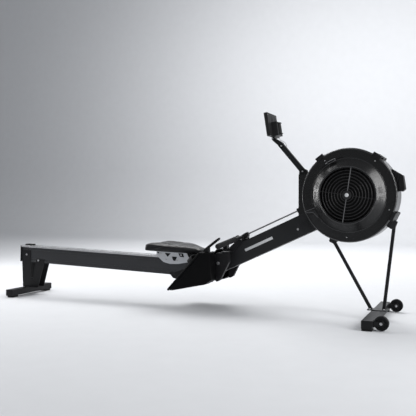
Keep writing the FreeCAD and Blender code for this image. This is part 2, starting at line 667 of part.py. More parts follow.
def strut(name, top, foot):
    """A rectangular tube from the carrier down to the front cross foot."""
    length = math.dist(top, foot)
    pitch = math.degrees(math.atan2(top[1] - foot[1], top[0] - foot[0]))
    frame = world(foot[0], STRUT_Y, foot[1], pitch)
    made = doc.addObject("Part::Box", name)
    bind(made, Width="strut_thickness", Height="strut_width")
    made.Length = length
    made.Placement = inside(frame, 0, -S["strut_thickness"] / 2, -S["strut_width"] / 2)
    return made


def build_front_legs():
    """Two struts, the foot plate, the cross foot with wheel ears, and the pads."""
    top = S["pad_height"] + S["foot_tube_depth"]
    struts = []
    for name, head, foot in (("rear", REAR_STRUT_TOP, REAR_STRUT_FOOT), ("front", FRONT_STRUT_TOP, FRONT_STRUT_FOOT)):
        under = box(f"{name}_strut_floor", 400, 100, 60, world(S["front_foot_station"], 0, top + 4 - 60))
        struts.append(cut(f"{name}_strut_cut", strut(f"{name}_strut", head, foot), under))
    node(group("struts", *struts), "front_leg_struts")
    plate = box("strut_plate", 96, 60, 4, world(S["front_foot_station"], STRUT_Y, top))
    bar = foot_tube("front_bar", "front_foot_width", world(S["front_foot_station"], 0, S["pad_height"]))
    axle_z = S["wheel_radius"] + S["wheel_lift"]
    ears = []
    for i, y in enumerate((-1, 1)):
        for j, side in enumerate((-1, 1)):
            at = y * S["wheel_half_track"] + side * (S["wheel_width"] / 2 + 4)
            corners = [(0, S["pad_height"] + 3), (S["wheel_station"] - S["front_foot_station"] + 9, axle_z - 10),
                       (S["wheel_station"] - S["front_foot_station"] + 9, axle_z + 8), (0, top - 2)]
            bore = ("wheel_station - front_foot_station", "wheel_radius + wheel_lift", "wheel_axle_radius + fit / 2")
            ears.append(slab(f"wheel_ear_{i}{j}", corners, 4, world(S["front_foot_station"], at, 0), holes=[bore]))
    node(fuse("front_foot_fused", bar, plate, *ears), "front_cross_foot")
    half = S["front_foot_width"] / 2 - 21
    pads = [box(f"front_pad_{i}", "foot_tube_length", 46, "pad_height", world(S["front_foot_station"], y, 0))
            for i, y in enumerate((-half, half))]
    node(group("all_pads", *PADS, *pads), "foot_pads")
    pins = []
    for side, sign in (("right", -1), ("left", 1)):
        at = world(S["wheel_station"], sign * S["wheel_half_track"], axle_z)
        tyre = turned(f"wheel_{side}_turned", wheel_profile(), at)
        node(tyre, f"wheel_{side}")
        pins.append(rod(f"wheel_axle_{side}", "wheel_axle_radius", "wheel_width + 16", at))
    node(group("wheel_axles_all", *pins), "wheel_axles")


def wheel_profile():
    """Radius and distance along the axle of a transport wheel, with a waist between tread and hub."""
    half = "wheel_width / 2"
    low, waist_low, waist_high = f"0 - {half}", f"4 - {half}", f"{half} - 4"
    return [("wheel_axle_radius + fit", low), ("14", low), ("16", waist_low), ("wheel_radius - 9", waist_low),
            ("wheel_radius - 6", low), ("wheel_radius - 3", low), ("wheel_radius", waist_low),
            ("wheel_radius", waist_high), ("wheel_radius - 3", half), ("wheel_radius - 6", half),
            ("wheel_radius - 9", waist_high), ("16", waist_high), ("14", half), ("wheel_axle_radius + fit", half)]


# ---------------------------------------------------------------- foot assembly

def build_feet():
    """Side plates, cheeks, footboards, heel cups, straps and the bar that carries them."""
    plate_frame = world(S["foot_station"], 0, S["foot_height"])
    side = [(273, 209), (350, 212), (350, 162), (315, 95), (297, 60), (268, 44), (268, 150)]
    centre = (S["side_plate_inner"] + S["side_plate_outer"]) / 2
    bore = (f"{CROSSBAR_AT[0]} - foot_station", f"{CROSSBAR_AT[1]} - foot_height", "crossbar_radius + fit")

    def side_plate(name, y, sign):
        return slab(name, side, "side_plate_outer - side_plate_inner", inside(plate_frame, 0, y, 0),
                    holes=[bore], rounding=8)

    node(group("side_plates", *pair(side_plate, "side_plate", centre)), "foot_side_plates")
    CROSS_BOLTS.append(rod("crossbar_rod", "crossbar_radius", "2 * side_plate_outer + 2",
                           world(CROSSBAR_AT[0], 0, CROSSBAR_AT[1])))

    slope = math.radians(S["foot_pitch_degrees"])
    drop = (S["foot_thickness"] + S["gap"]) / math.cos(slope)
    heel = -4.0
    cheek = [((heel + drop) / math.tan(slope), heel), (214, 214 * math.tan(slope) - drop), (262, 214),
             (272, 65), (232, 38), (35, heel)]
    cheek_centre = (S["side_plate_outer"] + S["gap"] + S["cheek_outer"]) / 2

    def cheek_block(name, y, sign):
        made = slab(name, cheek, "cheek_outer - side_plate_outer - gap", inside(plate_frame, 0, y, 0))
        hollow(made, "wall", Vector(0, -sign, 0))
        return made

    node(group("cheeks", *pair(cheek_block, "cheek", cheek_centre)), "foot_cheeks")
    board_centre = (S["foot_inner"] + S["foot_outer"]) / 2

    def board(name, y, sign):
        return box(name, "foot_length", "foot_outer - foot_inner", "foot_thickness",
                   inside(BOARD, S["foot_length"] / 2, y, -S["foot_thickness"]))

    node(group("boards", *pair(board, "board", board_centre)), "footboards")
    cup = [(92, "gap"), (164, "gap"), (164, 4), (118, 26), (98, 40), (92, 40)]
    for side_name, sign in (("right", -1), ("left", 1)):
        outer = slab(f"cup_{side_name}", cup, 96, inside(BOARD, 0, sign * board_centre, 0))
        space = [(98, 4), (170, 4), (170, 60), (98, 60)]
        inner = slab(f"cup_space_{side_name}", space, 86, inside(BOARD, 0, sign * board_centre, 0))
        node(cut(f"cup_cut_{side_name}", outer, inner), f"heel_cup_{side_name}")
    straps, buckles = [], []
    tail_x, tail_z, tail_pitch = 255.0, 253.5, 37.4
    keeper_z = [tail_z + (x - tail_x) * math.tan(math.radians(tail_pitch)) - S["gap"] for x in (217, 243)]
    buckle = [(217, 214 + S["gap"]), (243, 214 + S["gap"]), (243, keeper_z[1]), (217, keeper_z[0])]
    for side_name, sign in (("right", -1), ("left", 1)):
        at = inside(BOARD, 222, sign * board_centre, S["gap"])
        straps.append(slab(f"strap_{side_name}", arch_outline(56, 30, 3), 34, at, role="YZ_Plane"))
        tail = world(S["foot_station"] + tail_x, sign * 140, S["foot_height"] + tail_z, tail_pitch)
        straps.append(box(f"strap_tail_{side_name}", 92, 30, 3.5, tail))
        buckles.append(slab(f"buckle_{side_name}", buckle, 38, inside(plate_frame, 0, sign * 140, 0)))
    node(group("straps_all", *straps), "foot_straps")
    node(group("buckles_all", *buckles), "strap_buckles")


def arch_outline(half, rise, thickness):
    """An arch of even thickness as an outline, from one foot over the top to the other and back inside."""
    steps = 10
    outer = [(half * math.cos(math.pi * i / steps), rise * math.sin(math.pi * i / steps)) for i in range(steps + 1)]
    inner = [((half - thickness) * math.cos(math.pi * i / steps), (rise - thickness) * math.sin(math.pi * i / steps))
             for i in range(steps + 1)]
    return outer + inner[::-1]


# ---------------------------------------------------------------- handle and its rest

def build_handle():
    """The swept handle bar, its foam grips and the connector to the chain."""
    middle = rod("bar_middle", "handle_bar_radius", "2 * handle_middle", HANDLE)
    run = S["handle_half_width"] - S["handle_middle"]
    sweep = math.degrees(math.atan2(S["handle_sweep"], run))
    reach = math.hypot(S["handle_sweep"], run)
    arms, grips = [], []
    for side, sign in (("right", -1), ("left", 1)):
        bend = inside(HANDLE, 0, sign * S["handle_middle"], 0, Rotation(Vector(0, 0, 1), sign * sweep))
        knuckle = bind(doc.addObject("Part::Sphere", f"bar_bend_{side}"), Radius="handle_bar_radius")
        knuckle.Placement = bend
        arm = rod(f"bar_arm_{side}", "handle_bar_radius", f"{reach} - 4", inside(bend, 0, sign * (reach - 4) / 2, 0))
        arms += [knuckle, arm]
        grip_length = reach - 34
        at = inside(bend, 0, sign * (reach - grip_length / 2), 0)
        outer = rod(f"grip_outer_{side}", "grip_radius", grip_length, at)
        bore = rod(f"grip_bore_{side}", "handle_bar_radius + fit", grip_length,
                   inside(at, 0, -sign * 4.0, 0))
        grips.append(cut(f"grip_{side}", outer, bore))
    node(fuse("bar_fused", middle, *arms), "handle_bar")
    node(group("grips_all", *grips), "handle_grips")
    frame = inside(CHAIN, CONNECTOR_FRONT, 0, CHAIN_LIFT)
    block = box("connector_block", 26, 22, 22, inside(frame, -13 - S["gap"], 0, -11))
    centre = CHAIN.inverse().multVec(HANDLE.Base)
    lug_at = Placement(HANDLE.Base, CHAIN.Rotation)
    lug_end = CONNECTOR_FRONT - S["gap"] - centre.x - 8
    lug = box("connector_lug", lug_end, 30, 26, inside(lug_at, lug_end / 2, 0, -13))
    bar_hole = rod("connector_bore", "handle_bar_radius + fit", 40, HANDLE)
    node(cut("connector_cut", fuse("connector_fused", block, lug), bar_hole), "handle_connector")


def build_handle_rest():
    """Two hooks on the foot assembly's side plates, joined by a cross bar, that hold the parked handle."""
    bar_x, bar_z = in_frame(world(S["foot_station"], 0, S["foot_height"]), S["handle_station"], S["handle_height"])
    r = S["handle_bar_radius"] + S["gap"]
    foot = [(300, 212.3), (349, 212.3)]
    hook = foot + [(bar_x + r + 9, bar_z - 14), (bar_x + r + 9, bar_z + 8), (bar_x + r + 1, bar_z + 8),
                   (bar_x + r + 1, bar_z - r), (bar_x - r - 6, bar_z - r - 1), (bar_x - r - 14, bar_z - r - 12)]

    def hook_plate(name, y, sign):
        return slab(name, hook, 8, inside(world(S["foot_station"], 0, S["foot_height"]), 0, y, 0))

    inner = 48.0
    plates = pair(hook_plate, "hook", inner)
    shelves = []
    for side, sign in (("right", -1), ("left", 1)):
        width = S["side_plate_outer"] - inner + 4
        at = world(S["foot_station"] + 325, sign * (inner - 4 + width / 2), S["foot_height"] + 212 + S["gap"])
        shelves.append(box(f"shelf_{side}", 46, width, 5, at))
    rest = [fuse(f"rest_{i}", plates[i], shelves[i]) for i in range(2)]
    node(group("rests", *rest), "handle_rest")


# ---------------------------------------------------------------- monitor and arm

def build_arm():
    """The bracket on the neck, the channel arm and the elbow that holds the tilt pin."""
    base = world(S["arm_station"] + 3, 0, S["neck_top"])
    foot = box("bracket_foot", 44, 46, 4, inside(base, 0, 0, S["gap"]))
    cheeks = []
    pivot_z = S["arm_height"] - S["neck_top"]
    outline = [(-22, 2), (22, 2), (19, pivot_z + 6), (6, pivot_z + 13), (-12, pivot_z + 13), (-22, pivot_z + 4)]
    for i, y in enumerate((-1, 1)):
        cheeks.append(slab(f"bracket_cheek_{i}", outline, 4, inside(base, 0, y * (S["arm_width"] / 2 + 2.5), 0),
                           holes=[("0 - 3", f"{pivot_z}", "4 + fit")]))
    node(fuse("bracket_fused", foot, *cheeks), "arm_bracket")
    channel = box("arm_block", "arm_length", "arm_width", "arm_depth",
                  inside(ARM, S["arm_length"] / 2, 0, -S["arm_depth"] / 2))
    block = fuse("arm_fused", channel, rod("arm_end", "arm_depth / 2", "arm_width", ARM))
    grooves = []
    for i, (y, z) in enumerate(((-1, -5), (-1, 5), (1, -5), (1, 5))):
        grooves.append(box(f"arm_groove_{i}", "arm_length - 30", 5, 4.5,
                           inside(ARM, S["arm_length"] / 2 + 4, y * S["arm_width"] / 2, z - 2.25)))
    bore = rod("arm_bore", "4 + fit", "arm_width + 4", ARM)
    elbow_bore = rod("arm_elbow_bore", "4 + fit", "arm_width + 4", inside(ARM, 184, 0, 0))
    node(cut("arm_cut", block, bore, elbow_bore, *grooves), "monitor_arm")
    tip_x, tip_z = S["tilt_reach"], S["tilt_offset"]
    elbow = [(168, -9), (196, -15), (tip_x - 3, tip_z - 8), (tip_x + 6, tip_z - 3), (tip_x + 6, tip_z + 4),
             (tip_x, tip_z + 8), (tip_x - 12, tip_z + 8), (190, 10), (168, 7)]
    plates = []
    for i, y in enumerate((-1, 1)):
        plates.append(slab(f"elbow_{i}", elbow, 3, inside(ARM, 0, y * (S["arm_width"] / 2 + 1.5 + S["gap"]), 0),
                           holes=[("tilt_reach", "tilt_offset", "4 + fit"), ("184", "0", "4 + fit")]))
    node(group("elbows", *plates), "arm_elbow")
    pivot = rod("pivot_rod", 4, "arm_width + 16", ARM)
    tilt = rod("tilt_rod", 4, "arm_width + 14", MONITOR)
    grip_bolt = rod("elbow_rod", 4, "arm_width + 14", inside(ARM, 184, 0, 0))
    node(group("arm_bolts_all", pivot, tilt, grip_bolt), "arm_bolts")


def build_monitor():
    """Front bezel, back with battery block, screen, buttons and the device holder."""
    low = 9.0
    front_x, depth = -9.0, S["monitor_depth"]
    wide, high = "monitor_width", "monitor_height"
    bezel = box("bezel_block", 8, wide, high, inside(MONITOR, front_x + 4, 0, low))
    window_z = low + 36
    glass_space = box("bezel_window", 12, "monitor_width - 36", "monitor_height - 48",
                      inside(MONITOR, front_x + 4, 0, window_z))
    button_y = (-40.0, 0.0, 40.0)
    holes = []
    for i, y in enumerate(button_y):
        at = inside(MONITOR, front_x - 2, y, low + 20)
        bore = bind(doc.addObject("Part::Cylinder", f"button_bore_{i}"), Radius="7 + gap")
        bore.Height = 14
        bore.Placement = inside(at, 0, 0, 0, ALONG_X)
        holes.append(bore)
    node(cut("bezel_cut", bezel, glass_space, *holes), "monitor_front")
    screen = box("screen_block", 2.4, "monitor_width - 36 - 2 * gap", "monitor_height - 48 - 2 * gap",
                 inside(MONITOR, front_x + 5.5, 0, window_z + S["gap"]))
    node(screen, "monitor_screen")
    for i, y in enumerate(button_y):
        cap = bind(doc.addObject("Part::Cylinder", f"button_cap_{i}"), Radius="7")
        cap.Height = 7
        cap.Placement = inside(MONITOR, front_x - 2.2, y, low + 20, ALONG_X)
        node(cap, f"monitor_button_{i + 1}")
    back_depth = depth - 8 - S["gap"]
    back = box("back_block", back_depth, wide, high, inside(MONITOR, front_x + 8 + S["gap"] + back_depth / 2, 0, low))
    battery = box("battery_block", 33, 82, 76, inside(MONITOR, 9 + 16.5, 0, low))
    lug = [(-6, 3), (-5, -4), (0, -7), (5, -4), (8, 3), (10, low + 3), (0.5, low + 3), (0.5, low - 1), (-6, 5)]
    ear = slab("monitor_ear", lug, "arm_width - 2", MONITOR, holes=[("0", "0", "4 + fit")])
    node(fuse("back_fused", back, battery, ear), "monitor_back")
    spine = box("holder_spine", 3, 30, 62, inside(MONITOR, 42 + 1.5 + S["gap"], 0, 18))
    hooks = []
    for i, z in enumerate((18, 76)):
        hooks.append(box(f"holder_hook_{i}", 12, 30, 4, inside(MONITOR, 42 + 6 + S["gap"], 0, z)))
    node(fuse("holder_fused", spine, *hooks), "device_holder")
    build_lead()


def build_lead():
    """The sensor lead from the monitor's back, round the elbow and into the arm."""
    route = [(1775.3, 961.0), (1778.5, 945.0), (1797.0, 940.0), (1812.5, 926.0), (1816.4, 907.2)]
    centre = S["overall_length"] / 2
    spots = [Vector(station - centre, 0, z) for station, z in route]
    path = rounded_path(spots)
    tube = doc.addObject("Part::Feature", "lead_tube")
    start = (spots[1] - spots[0]).normalize()
    circle = Part.Wire(Part.Circle(spots[0], start, LEAD_RADIUS).toShape())
    tube.Shape = path.makePipeShell([circle], True, False)
    node(tube, "monitor_lead")


def rounded_path(spots):
    """Straight runs joined by tangent arcs, each as large as its shorter run allows."""
    edges, last = [], spots[0]
    for before, corner, after in zip(spots, spots[1:], spots[2:]):
        back, ahead = (before - corner), (after - corner)
        shorter = min(back.Length, ahead.Length)
        back.normalize()
        ahead.normalize()
        turn = math.pi - back.getAngle(ahead)
        tangent = 0.45 * shorter
        radius = tangent / math.tan(turn / 2)
        start, end = corner + back * tangent, corner + ahead * tangent
        bisector = (back + ahead).normalize()
        centre = corner + bisector * math.hypot(radius, tangent)
        middle = centre - bisector * radius
        edges += [Part.LineSegment(last, start).toShape(), Part.Arc(start, middle, end).toShape()]
        print(f"lead bend radius {radius:.1f} mm")
        last = end
    edges.append(Part.LineSegment(last, spots[-1]).toShape())
    return Part.Wire(edges)


# ---------------------------------------------------------------- seat

def build_seat():
    """Pad, base plate, carriage plates, rollers and their axles."""
    rear = S["seat_station"] - S["cap_thickness"]
    half, nose = "seat_width / 2", "seat_nose_width / 2"
    shoulder = 228
    plan = [(rear, f"14 - {half}"), (rear + 14, f"0 - {half}"), (rear + shoulder - 30, f"0 - {half}"),
            (rear + shoulder, f"8 - {half}"), (rear + shoulder + 42, f"0 - {nose} - 26"),
            (rear + S["seat_length"] - 18, f"0 - {nose}"), (rear + S["seat_length"], f"18 - {nose}")]
    mirrored = [(x, f"0 - ({y})") for x, y in reversed(plan)]
    pad = slab("seat_outline", plan + mirrored, "seat_thickness", inside(RAIL, 0, 0, PAD_Z + S["seat_thickness"] / 2),
               role="XY_Plane")
    node(pad, "seat_pad")
    base_length = BASE_FRONT - rear - 30
    base = box("base_block", base_length, "2 * carriage_inner + 2 * carriage_thickness + 60", 4,
               inside(RAIL, BASE_FRONT - base_length / 2, 0, BASE_Z))
    node(base, "seat_base")
    plate = [(1023, BASE_Z - S["gap"]), (1023, 13.7), (1070, -24), (1116, -32.6), (1169, -28.8), (1247, -11.3),
             (1221, BASE_Z - S["gap"])]
    bores = [(f"{x}", f"{ROLLER_Z}", "4 + fit") for x in TOP_ROLLERS_X]
    bores += [(f"{x}", f"{GUIDE_Z}", "4 + fit") for x in GUIDE_ROLLERS_X]

    def side(name, y, sign):
        return slab(name, plate, "carriage_thickness", inside(RAIL, 0, y, 0), holes=bores, rounding=5)

    node(group("plates", *pair(side, "carriage", S["carriage_inner"] + S["carriage_thickness"] / 2)),
         "carriage_plates")
    axles = [rod(f"roller_axle_{i}", 4, "2 * carriage_inner + 2 * carriage_thickness + 6", inside(RAIL, x, 0, ROLLER_Z))
             for i, x in enumerate(TOP_ROLLERS_X)]
    for place, x in zip(("rear", "front"), TOP_ROLLERS_X):
        rollers = [ring(f"roller_{place}_{i}", "roller_radius", "4 + fit", "roller_width",
                        inside(RAIL, x, y * (8 + S["roller_width"] / 2), ROLLER_Z)) for i, y in enumerate((-1, 1))]
        node(group(f"rollers_{place}", *rollers), f"top_rollers_{place}")
    guide_y = S["rail_width"] / 2 + 1 + S["guide_width"] / 2
    stub = S["carriage_inner"] + S["carriage_thickness"] + 3 - (guide_y - S["guide_width"] / 2)
    for place, x in zip(("rear", "front"), GUIDE_ROLLERS_X):
        rollers = []
        for i, y in enumerate((-1, 1)):
            rollers.append(ring(f"guide_{place}_{i}", "guide_radius", "4 + fit", "guide_width",
                                inside(RAIL, x, y * guide_y, GUIDE_Z)))
            centre = guide_y - S["guide_width"] / 2 + stub / 2
            axles.append(rod(f"guide_axle_{place}_{i}", 4, stub, inside(RAIL, x, y * centre, GUIDE_Z)))
        node(group(f"guides_{place}", *rollers), f"guide_rollers_{place}")
    node(group("axles_all", *axles), "roller_axles")


# ---------------------------------------------------------------- bolts

def build_bolts():
    """Bolt heads that show: on the beam's head, the crossbar and the rear leg."""
    places = []
    for sign in (-1, 1):
        places.append((1890, sign * (S["beam_width"] / 2 + 2.5), 462, 5))
        places.append((TAIL_X + 147, sign * (S["rail_width"] / 2 + S["gap"] + S["wall"] + 2), 226, 4))
        places.append((TAIL_X + 50, sign * (S["rail_width"] / 2 + S["gap"] + S["wall"] + 2), 262, 4))
        places.append((1180, sign * (S["beam_width"] / 2 + S["gap"] + S["wall"] + 2), 188, 4))
    heads = [rod(f"bolt_{i}", 6, depth, world(x, y, z)) for i, (x, y, z, depth) in enumerate(places)]
    node(group("bolts_all", *CROSS_BOLTS, *heads), "frame_bolts")


for build in (build_rail, build_rail_saddle, build_rear_leg, build_beam, build_neck, build_chain, build_housing,
              build_damper, build_grille, build_flywheel, build_sprocket, build_carrier, build_clips,
              build_front_legs, build_feet, build_handle, build_handle_rest, build_arm, build_monitor, build_seat,
              build_bolts):
    build()
doc.recompute()

for thing in doc.Objects:
    broken = [word for word in thing.State if word in ("Invalid", "Error")]
    if broken:
        raise RuntimeError(f"{thing.Name} did not build: {broken}")
os.makedirs("parts", exist_ok=True)
for thing in NODES:
    shape = thing.Shape
    if shape.isNull() or not shape.isValid() or not shape.Solids:
        raise RuntimeError(f"{thing.Label} has no valid solid")
for thing in NODES:
    thing.Shape.exportStep(os.path.join("parts", thing.Label + ".step"))
    print(f"{thing.Label}: {len(thing.Shape.Solids)} solids, {thing.Shape.Volume / 1000:.1f} cm3")
print(len(NODES), "nodes")
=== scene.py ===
"""Looks of a rowing machine with a caged air flywheel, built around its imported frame.

Shapes are drawn in millimetres in the frame of the sub-assembly they belong to, and a placing
matrix takes them to the machine's own frame in metres: +X to the flywheel, +Y to the rower's left.
"""

import json
import logging
import math
from collections.abc import Callable, Iterable, Sequence
from dataclasses import dataclass, field
from enum import Enum

import bmesh
import bpy
from mathutils import Matrix, Vector

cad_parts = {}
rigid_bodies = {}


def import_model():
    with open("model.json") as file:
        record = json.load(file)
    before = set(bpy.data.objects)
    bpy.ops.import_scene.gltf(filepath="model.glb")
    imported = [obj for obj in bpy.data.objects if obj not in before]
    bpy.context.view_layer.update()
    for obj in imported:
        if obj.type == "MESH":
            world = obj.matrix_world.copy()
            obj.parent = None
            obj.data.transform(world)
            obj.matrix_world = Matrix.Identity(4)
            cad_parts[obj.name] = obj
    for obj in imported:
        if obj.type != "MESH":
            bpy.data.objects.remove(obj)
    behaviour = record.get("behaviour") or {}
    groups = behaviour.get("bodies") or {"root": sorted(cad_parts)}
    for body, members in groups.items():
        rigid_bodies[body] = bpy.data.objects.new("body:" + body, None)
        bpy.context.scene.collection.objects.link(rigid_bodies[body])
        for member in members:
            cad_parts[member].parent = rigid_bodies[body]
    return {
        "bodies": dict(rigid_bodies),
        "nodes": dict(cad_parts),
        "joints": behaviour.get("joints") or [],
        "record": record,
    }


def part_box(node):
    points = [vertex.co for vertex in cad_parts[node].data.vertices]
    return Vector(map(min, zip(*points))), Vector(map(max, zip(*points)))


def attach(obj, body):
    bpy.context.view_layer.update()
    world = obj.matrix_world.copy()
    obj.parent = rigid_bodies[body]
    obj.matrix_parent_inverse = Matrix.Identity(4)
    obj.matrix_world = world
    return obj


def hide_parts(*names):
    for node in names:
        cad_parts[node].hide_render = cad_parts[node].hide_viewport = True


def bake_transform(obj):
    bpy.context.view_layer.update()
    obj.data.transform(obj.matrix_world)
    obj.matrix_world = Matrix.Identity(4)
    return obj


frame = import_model()

LOG = logging.getLogger("rowing_machine")
MM = 0.001
Point = tuple[float, float]
Place = tuple[float, float, float]
Colour = tuple[float, float, float]


class Side(Enum):
    """The two sides of the middle plane."""

    RIGHT = -1
    LEFT = 1

    @property
    def word(self) -> str:
        """The side's name as it stands in piece names."""
        return self.name.lower()


# ---------------------------------------------------------------- placing

def frame_at(origin: Sequence[float], pitch: float = 0.0) -> Matrix:
    """A frame whose x axis is pitched upwards, for shapes in millimetres.

    Args:
        origin: The frame's origin in metres.
        pitch: Angle of its x axis above the forward direction, in radians.

    Returns:
        The matrix that places a shape.
    """
    return Matrix.Translation(Vector(origin)) @ Matrix.Rotation(-pitch, 4, "Y") @ Matrix.Scale(MM, 4)


def inside(frame: Matrix, x: float = 0.0, y: float = 0.0, z: float = 0.0, **turns: float) -> Matrix:
    """A place within a frame.

    Args:
        frame: The frame.
        x: Millimetres along its x axis.
        y: Millimetres along its y axis.
        z: Millimetres along its z axis.
        turns: Degrees about its axes, as about_x, about_y or about_z.

    Returns:
        The matrix of the place.
    """
    made = frame @ Matrix.Translation((x, y, z))
    for axis in "zyx":
        angle = turns.get(f"about_{axis}", 0.0)
        if angle:
            made = made @ Matrix.Rotation(math.radians(angle), 4, axis.upper())
    return made


def linked(name: str, data: bpy.types.ID) -> bpy.types.Object:
    """A new object of the scene, at the origin.

    Args:
        name: Its name.
        data: Its mesh, light or camera.

    Returns:
        The object.
    """
    made = bpy.data.objects.new(name, data)
    bpy.context.scene.collection.objects.link(made)
    return made


# ---------------------------------------------------------------- shapes

class Shape:
    """A closed form in millimetres, made with mesh operators."""

    def __init__(self) -> None:
        """Starts empty."""
        self.bm = bmesh.new()

    @classmethod
    def block(cls, size: Sequence[float], rounding: float = 0.0, segments: int = 3) -> "Shape":
        """A block centred on its place.

        Args:
            size: Length, width and height.
            rounding: Radius of its edges.
            segments: Facets across a rounded edge.

        Returns:
            The block.
        """
        made = cls()
        bmesh.ops.create_cube(made.bm, size=1.0, matrix=Matrix.Diagonal((*size, 1.0)))
        return made.round_edges(rounding, segments)

    @classmethod
    def drum(cls, radius: float, length: float, rounding: float = 0.0, sides: int = 48,
             end_radius: float | None = None) -> "Shape":
        """A cylinder or a cone along y, centred on its place.

        Args:
            radius: Its radius at the low end.
            length: Its length.
            rounding: Radius of its two rims.
            sides: Facets round it.
            end_radius: Its radius at the high end, where it differs.

        Returns:
            The drum.
        """
        made = cls()
        turn = Matrix.Rotation(-math.pi / 2, 4, "X")
        bmesh.ops.create_cone(made.bm, cap_ends=True, segments=sides, radius1=radius,
                              radius2=radius if end_radius is None else end_radius, depth=length, matrix=turn)
        rims = [e for e in made.bm.edges if abs(e.verts[0].co.y - e.verts[1].co.y) < length / 2]
        return made.round_edges(rounding, 2, rims)

    @classmethod
    def spun(cls, profile: Sequence[Point], steps: int = 96) -> "Shape":
        """A closed outline of (radius, distance along y) turned about y.

        Args:
            profile: The outline's corners.
            steps: Facets round the axis.

        Returns:
            The turned form.
        """
        made = cls()
        corners = [made.bm.verts.new((radius, along, 0.0)) for radius, along in profile]
        edges = [made.bm.edges.new((a, b)) for a, b in zip(corners, corners[1:] + corners[:1])]
        bmesh.ops.spin(made.bm, geom=corners + edges, cent=(0, 0, 0), axis=(0, 1, 0), angle=math.tau,
                       steps=steps, use_merge=True, use_duplicate=False)
        return made.healed()

    @classmethod
    def plate(cls, outline: Sequence[Point], thickness: float, corner: float = 0.0,
              rounding: float = 0.0) -> "Shape":
        """An outline in x and z given a thickness, half to each side.

        Args:
            outline: Its corners.
            thickness: Its size along y.
            corner: Radius of the outline's corners.
            rounding: Radius of its rims.

        Returns:
            The plate.
        """
        made = cls()
        face = made.bm.faces.new([made.bm.verts.new((x, -thickness / 2, z)) for x, z in outline])
        grown = bmesh.ops.extrude_face_region(made.bm, geom=[face])["geom"]
        lifted = [v for v in grown if isinstance(v, bmesh.types.BMVert)]
        bmesh.ops.translate(made.bm, verts=lifted, vec=(0, thickness, 0))
        through = [e for e in made.bm.edges if abs(e.verts[0].co.y - e.verts[1].co.y) > thickness / 2]
        made.round_edges(corner, 5, through)
        rims = [e for e in made.bm.edges if abs(e.verts[0].co.y - e.verts[1].co.y) < thickness / 2]
        return made.round_edges(rounding, 2, rims).healed()

    @classmethod
    def swept(cls, path: Sequence[Sequence[float]], radius: float, sides: int = 24) -> "Shape":
        """A round bar along a path, with its ends closed.

        Args:
            path: Points of its centre line.
            radius: Its radius.
            sides: Facets round it.

        Returns:
            The bar.
        """
        made = cls()
        spots = [Vector(point) for point in path]
        headings = [(b - a).normalized() for a, b in zip([spots[0], *spots[:-1]], [*spots[1:], spots[-1]])]
        headings[0] = (spots[1] - spots[0]).normalized()
        turn = Vector((0, 0, 1)).rotation_difference(headings[0]).to_matrix().to_4x4()
        first = bmesh.ops.create_circle(made.bm, segments=sides, radius=radius,
                                        matrix=Matrix.Translation(spots[0]) @ turn)["verts"]
        loop = list({edge for vert in first for edge in vert.link_edges})
        made.bm.faces.new(first)
        for i in range(1, len(spots)):
            grown = bmesh.ops.extrude_edge_only(made.bm, edges=loop)["geom"]
            ring = [v for v in grown if isinstance(v, bmesh.types.BMVert)]
            loop = [e for e in grown if isinstance(e, bmesh.types.BMEdge)]
            bend = headings[i - 1].rotation_difference(headings[i]).to_matrix().to_4x4()
            move = Matrix.Translation(spots[i]) @ bend @ Matrix.Translation(-spots[i - 1])
            bmesh.ops.transform(made.bm, matrix=move, verts=ring)
        bmesh.ops.holes_fill(made.bm, edges=loop, sides=0)
        return made.healed()

    def round_edges(self, radius: float, segments: int = 3,
                    edges: Iterable[bmesh.types.BMEdge] | None = None) -> "Shape":
        """Rounds edges, or all of them.

        Args:
            radius: Their radius.
            segments: Facets across each.
            edges: The edges to round.

        Returns:
            The shape itself.
        """
        if radius > 0:
            chosen = list(self.bm.edges if edges is None else edges)
            bmesh.ops.bevel(self.bm, geom=chosen, offset=radius, offset_type="OFFSET", affect="EDGES",
                            segments=segments, profile=0.5, material=-1, clamp_overlap=True)
        return self

    def healed(self) -> "Shape":
        """Merges doubled corners and turns the faces outwards.

        Returns:
            The shape itself.
        """
        bmesh.ops.remove_doubles(self.bm, verts=self.bm.verts, dist=1e-4)
        bmesh.ops.recalc_face_normals(self.bm, faces=self.bm.faces)
        return self

    def at(self, frame: Matrix) -> "Shape":
        """Moves the shape to a place."""
        bmesh.ops.transform(self.bm, matrix=frame, verts=self.bm.verts)
        return self

    def with_more(self, *others: "Shape") -> "Shape":
        """Takes in other shapes, which are used up.

        Args:
            others: Shapes in the same frame.

        Returns:
            The shape itself.
        """
        for other in others:
            spare = bpy.data.meshes.new("spare")
            other.bm.to_mesh(spare)
            other.bm.free()
            self.bm.from_mesh(spare)
            bpy.data.meshes.remove(spare)
        return self

    def mesh(self, name: str) -> bpy.types.Mesh:
        """The finished mesh, smooth but for its sharp edges.

        Args:
            name: The mesh's name.

        Returns:
            The mesh.
        """
        bmesh.ops.recalc_face_normals(self.bm, faces=self.bm.faces)
        made = bpy.data.meshes.new(name)
        self.bm.to_mesh(made)
        self.bm.free()
        made.shade_smooth()
        made.set_sharp_from_angle(angle=math.radians(38))
        return made


def gathered(shapes: Iterable[Shape]) -> Shape:
    """Several shapes as one."""
    return Shape().with_more(*shapes)


def hex_bolt(radius: float, facing: float) -> Shape:
    """A hexagon head on its washer, standing on the plane y = 0.

    Args:
        radius: Radius of the washer.
        facing: The side the head stands out to, -1 or 1 along y.

    Returns:
        The bolt head.
    """
    washer = Shape.drum(radius, 1.4, 0.4, 32).at(Matrix.Translation((0, facing * 0.7, 0)))
    head = Shape.drum(radius * 0.74, radius * 0.62, 0.6, 6)
    head.at(Matrix.Translation((0, facing * (1.2 + radius * 0.31), 0)))
    return washer.with_more(head)


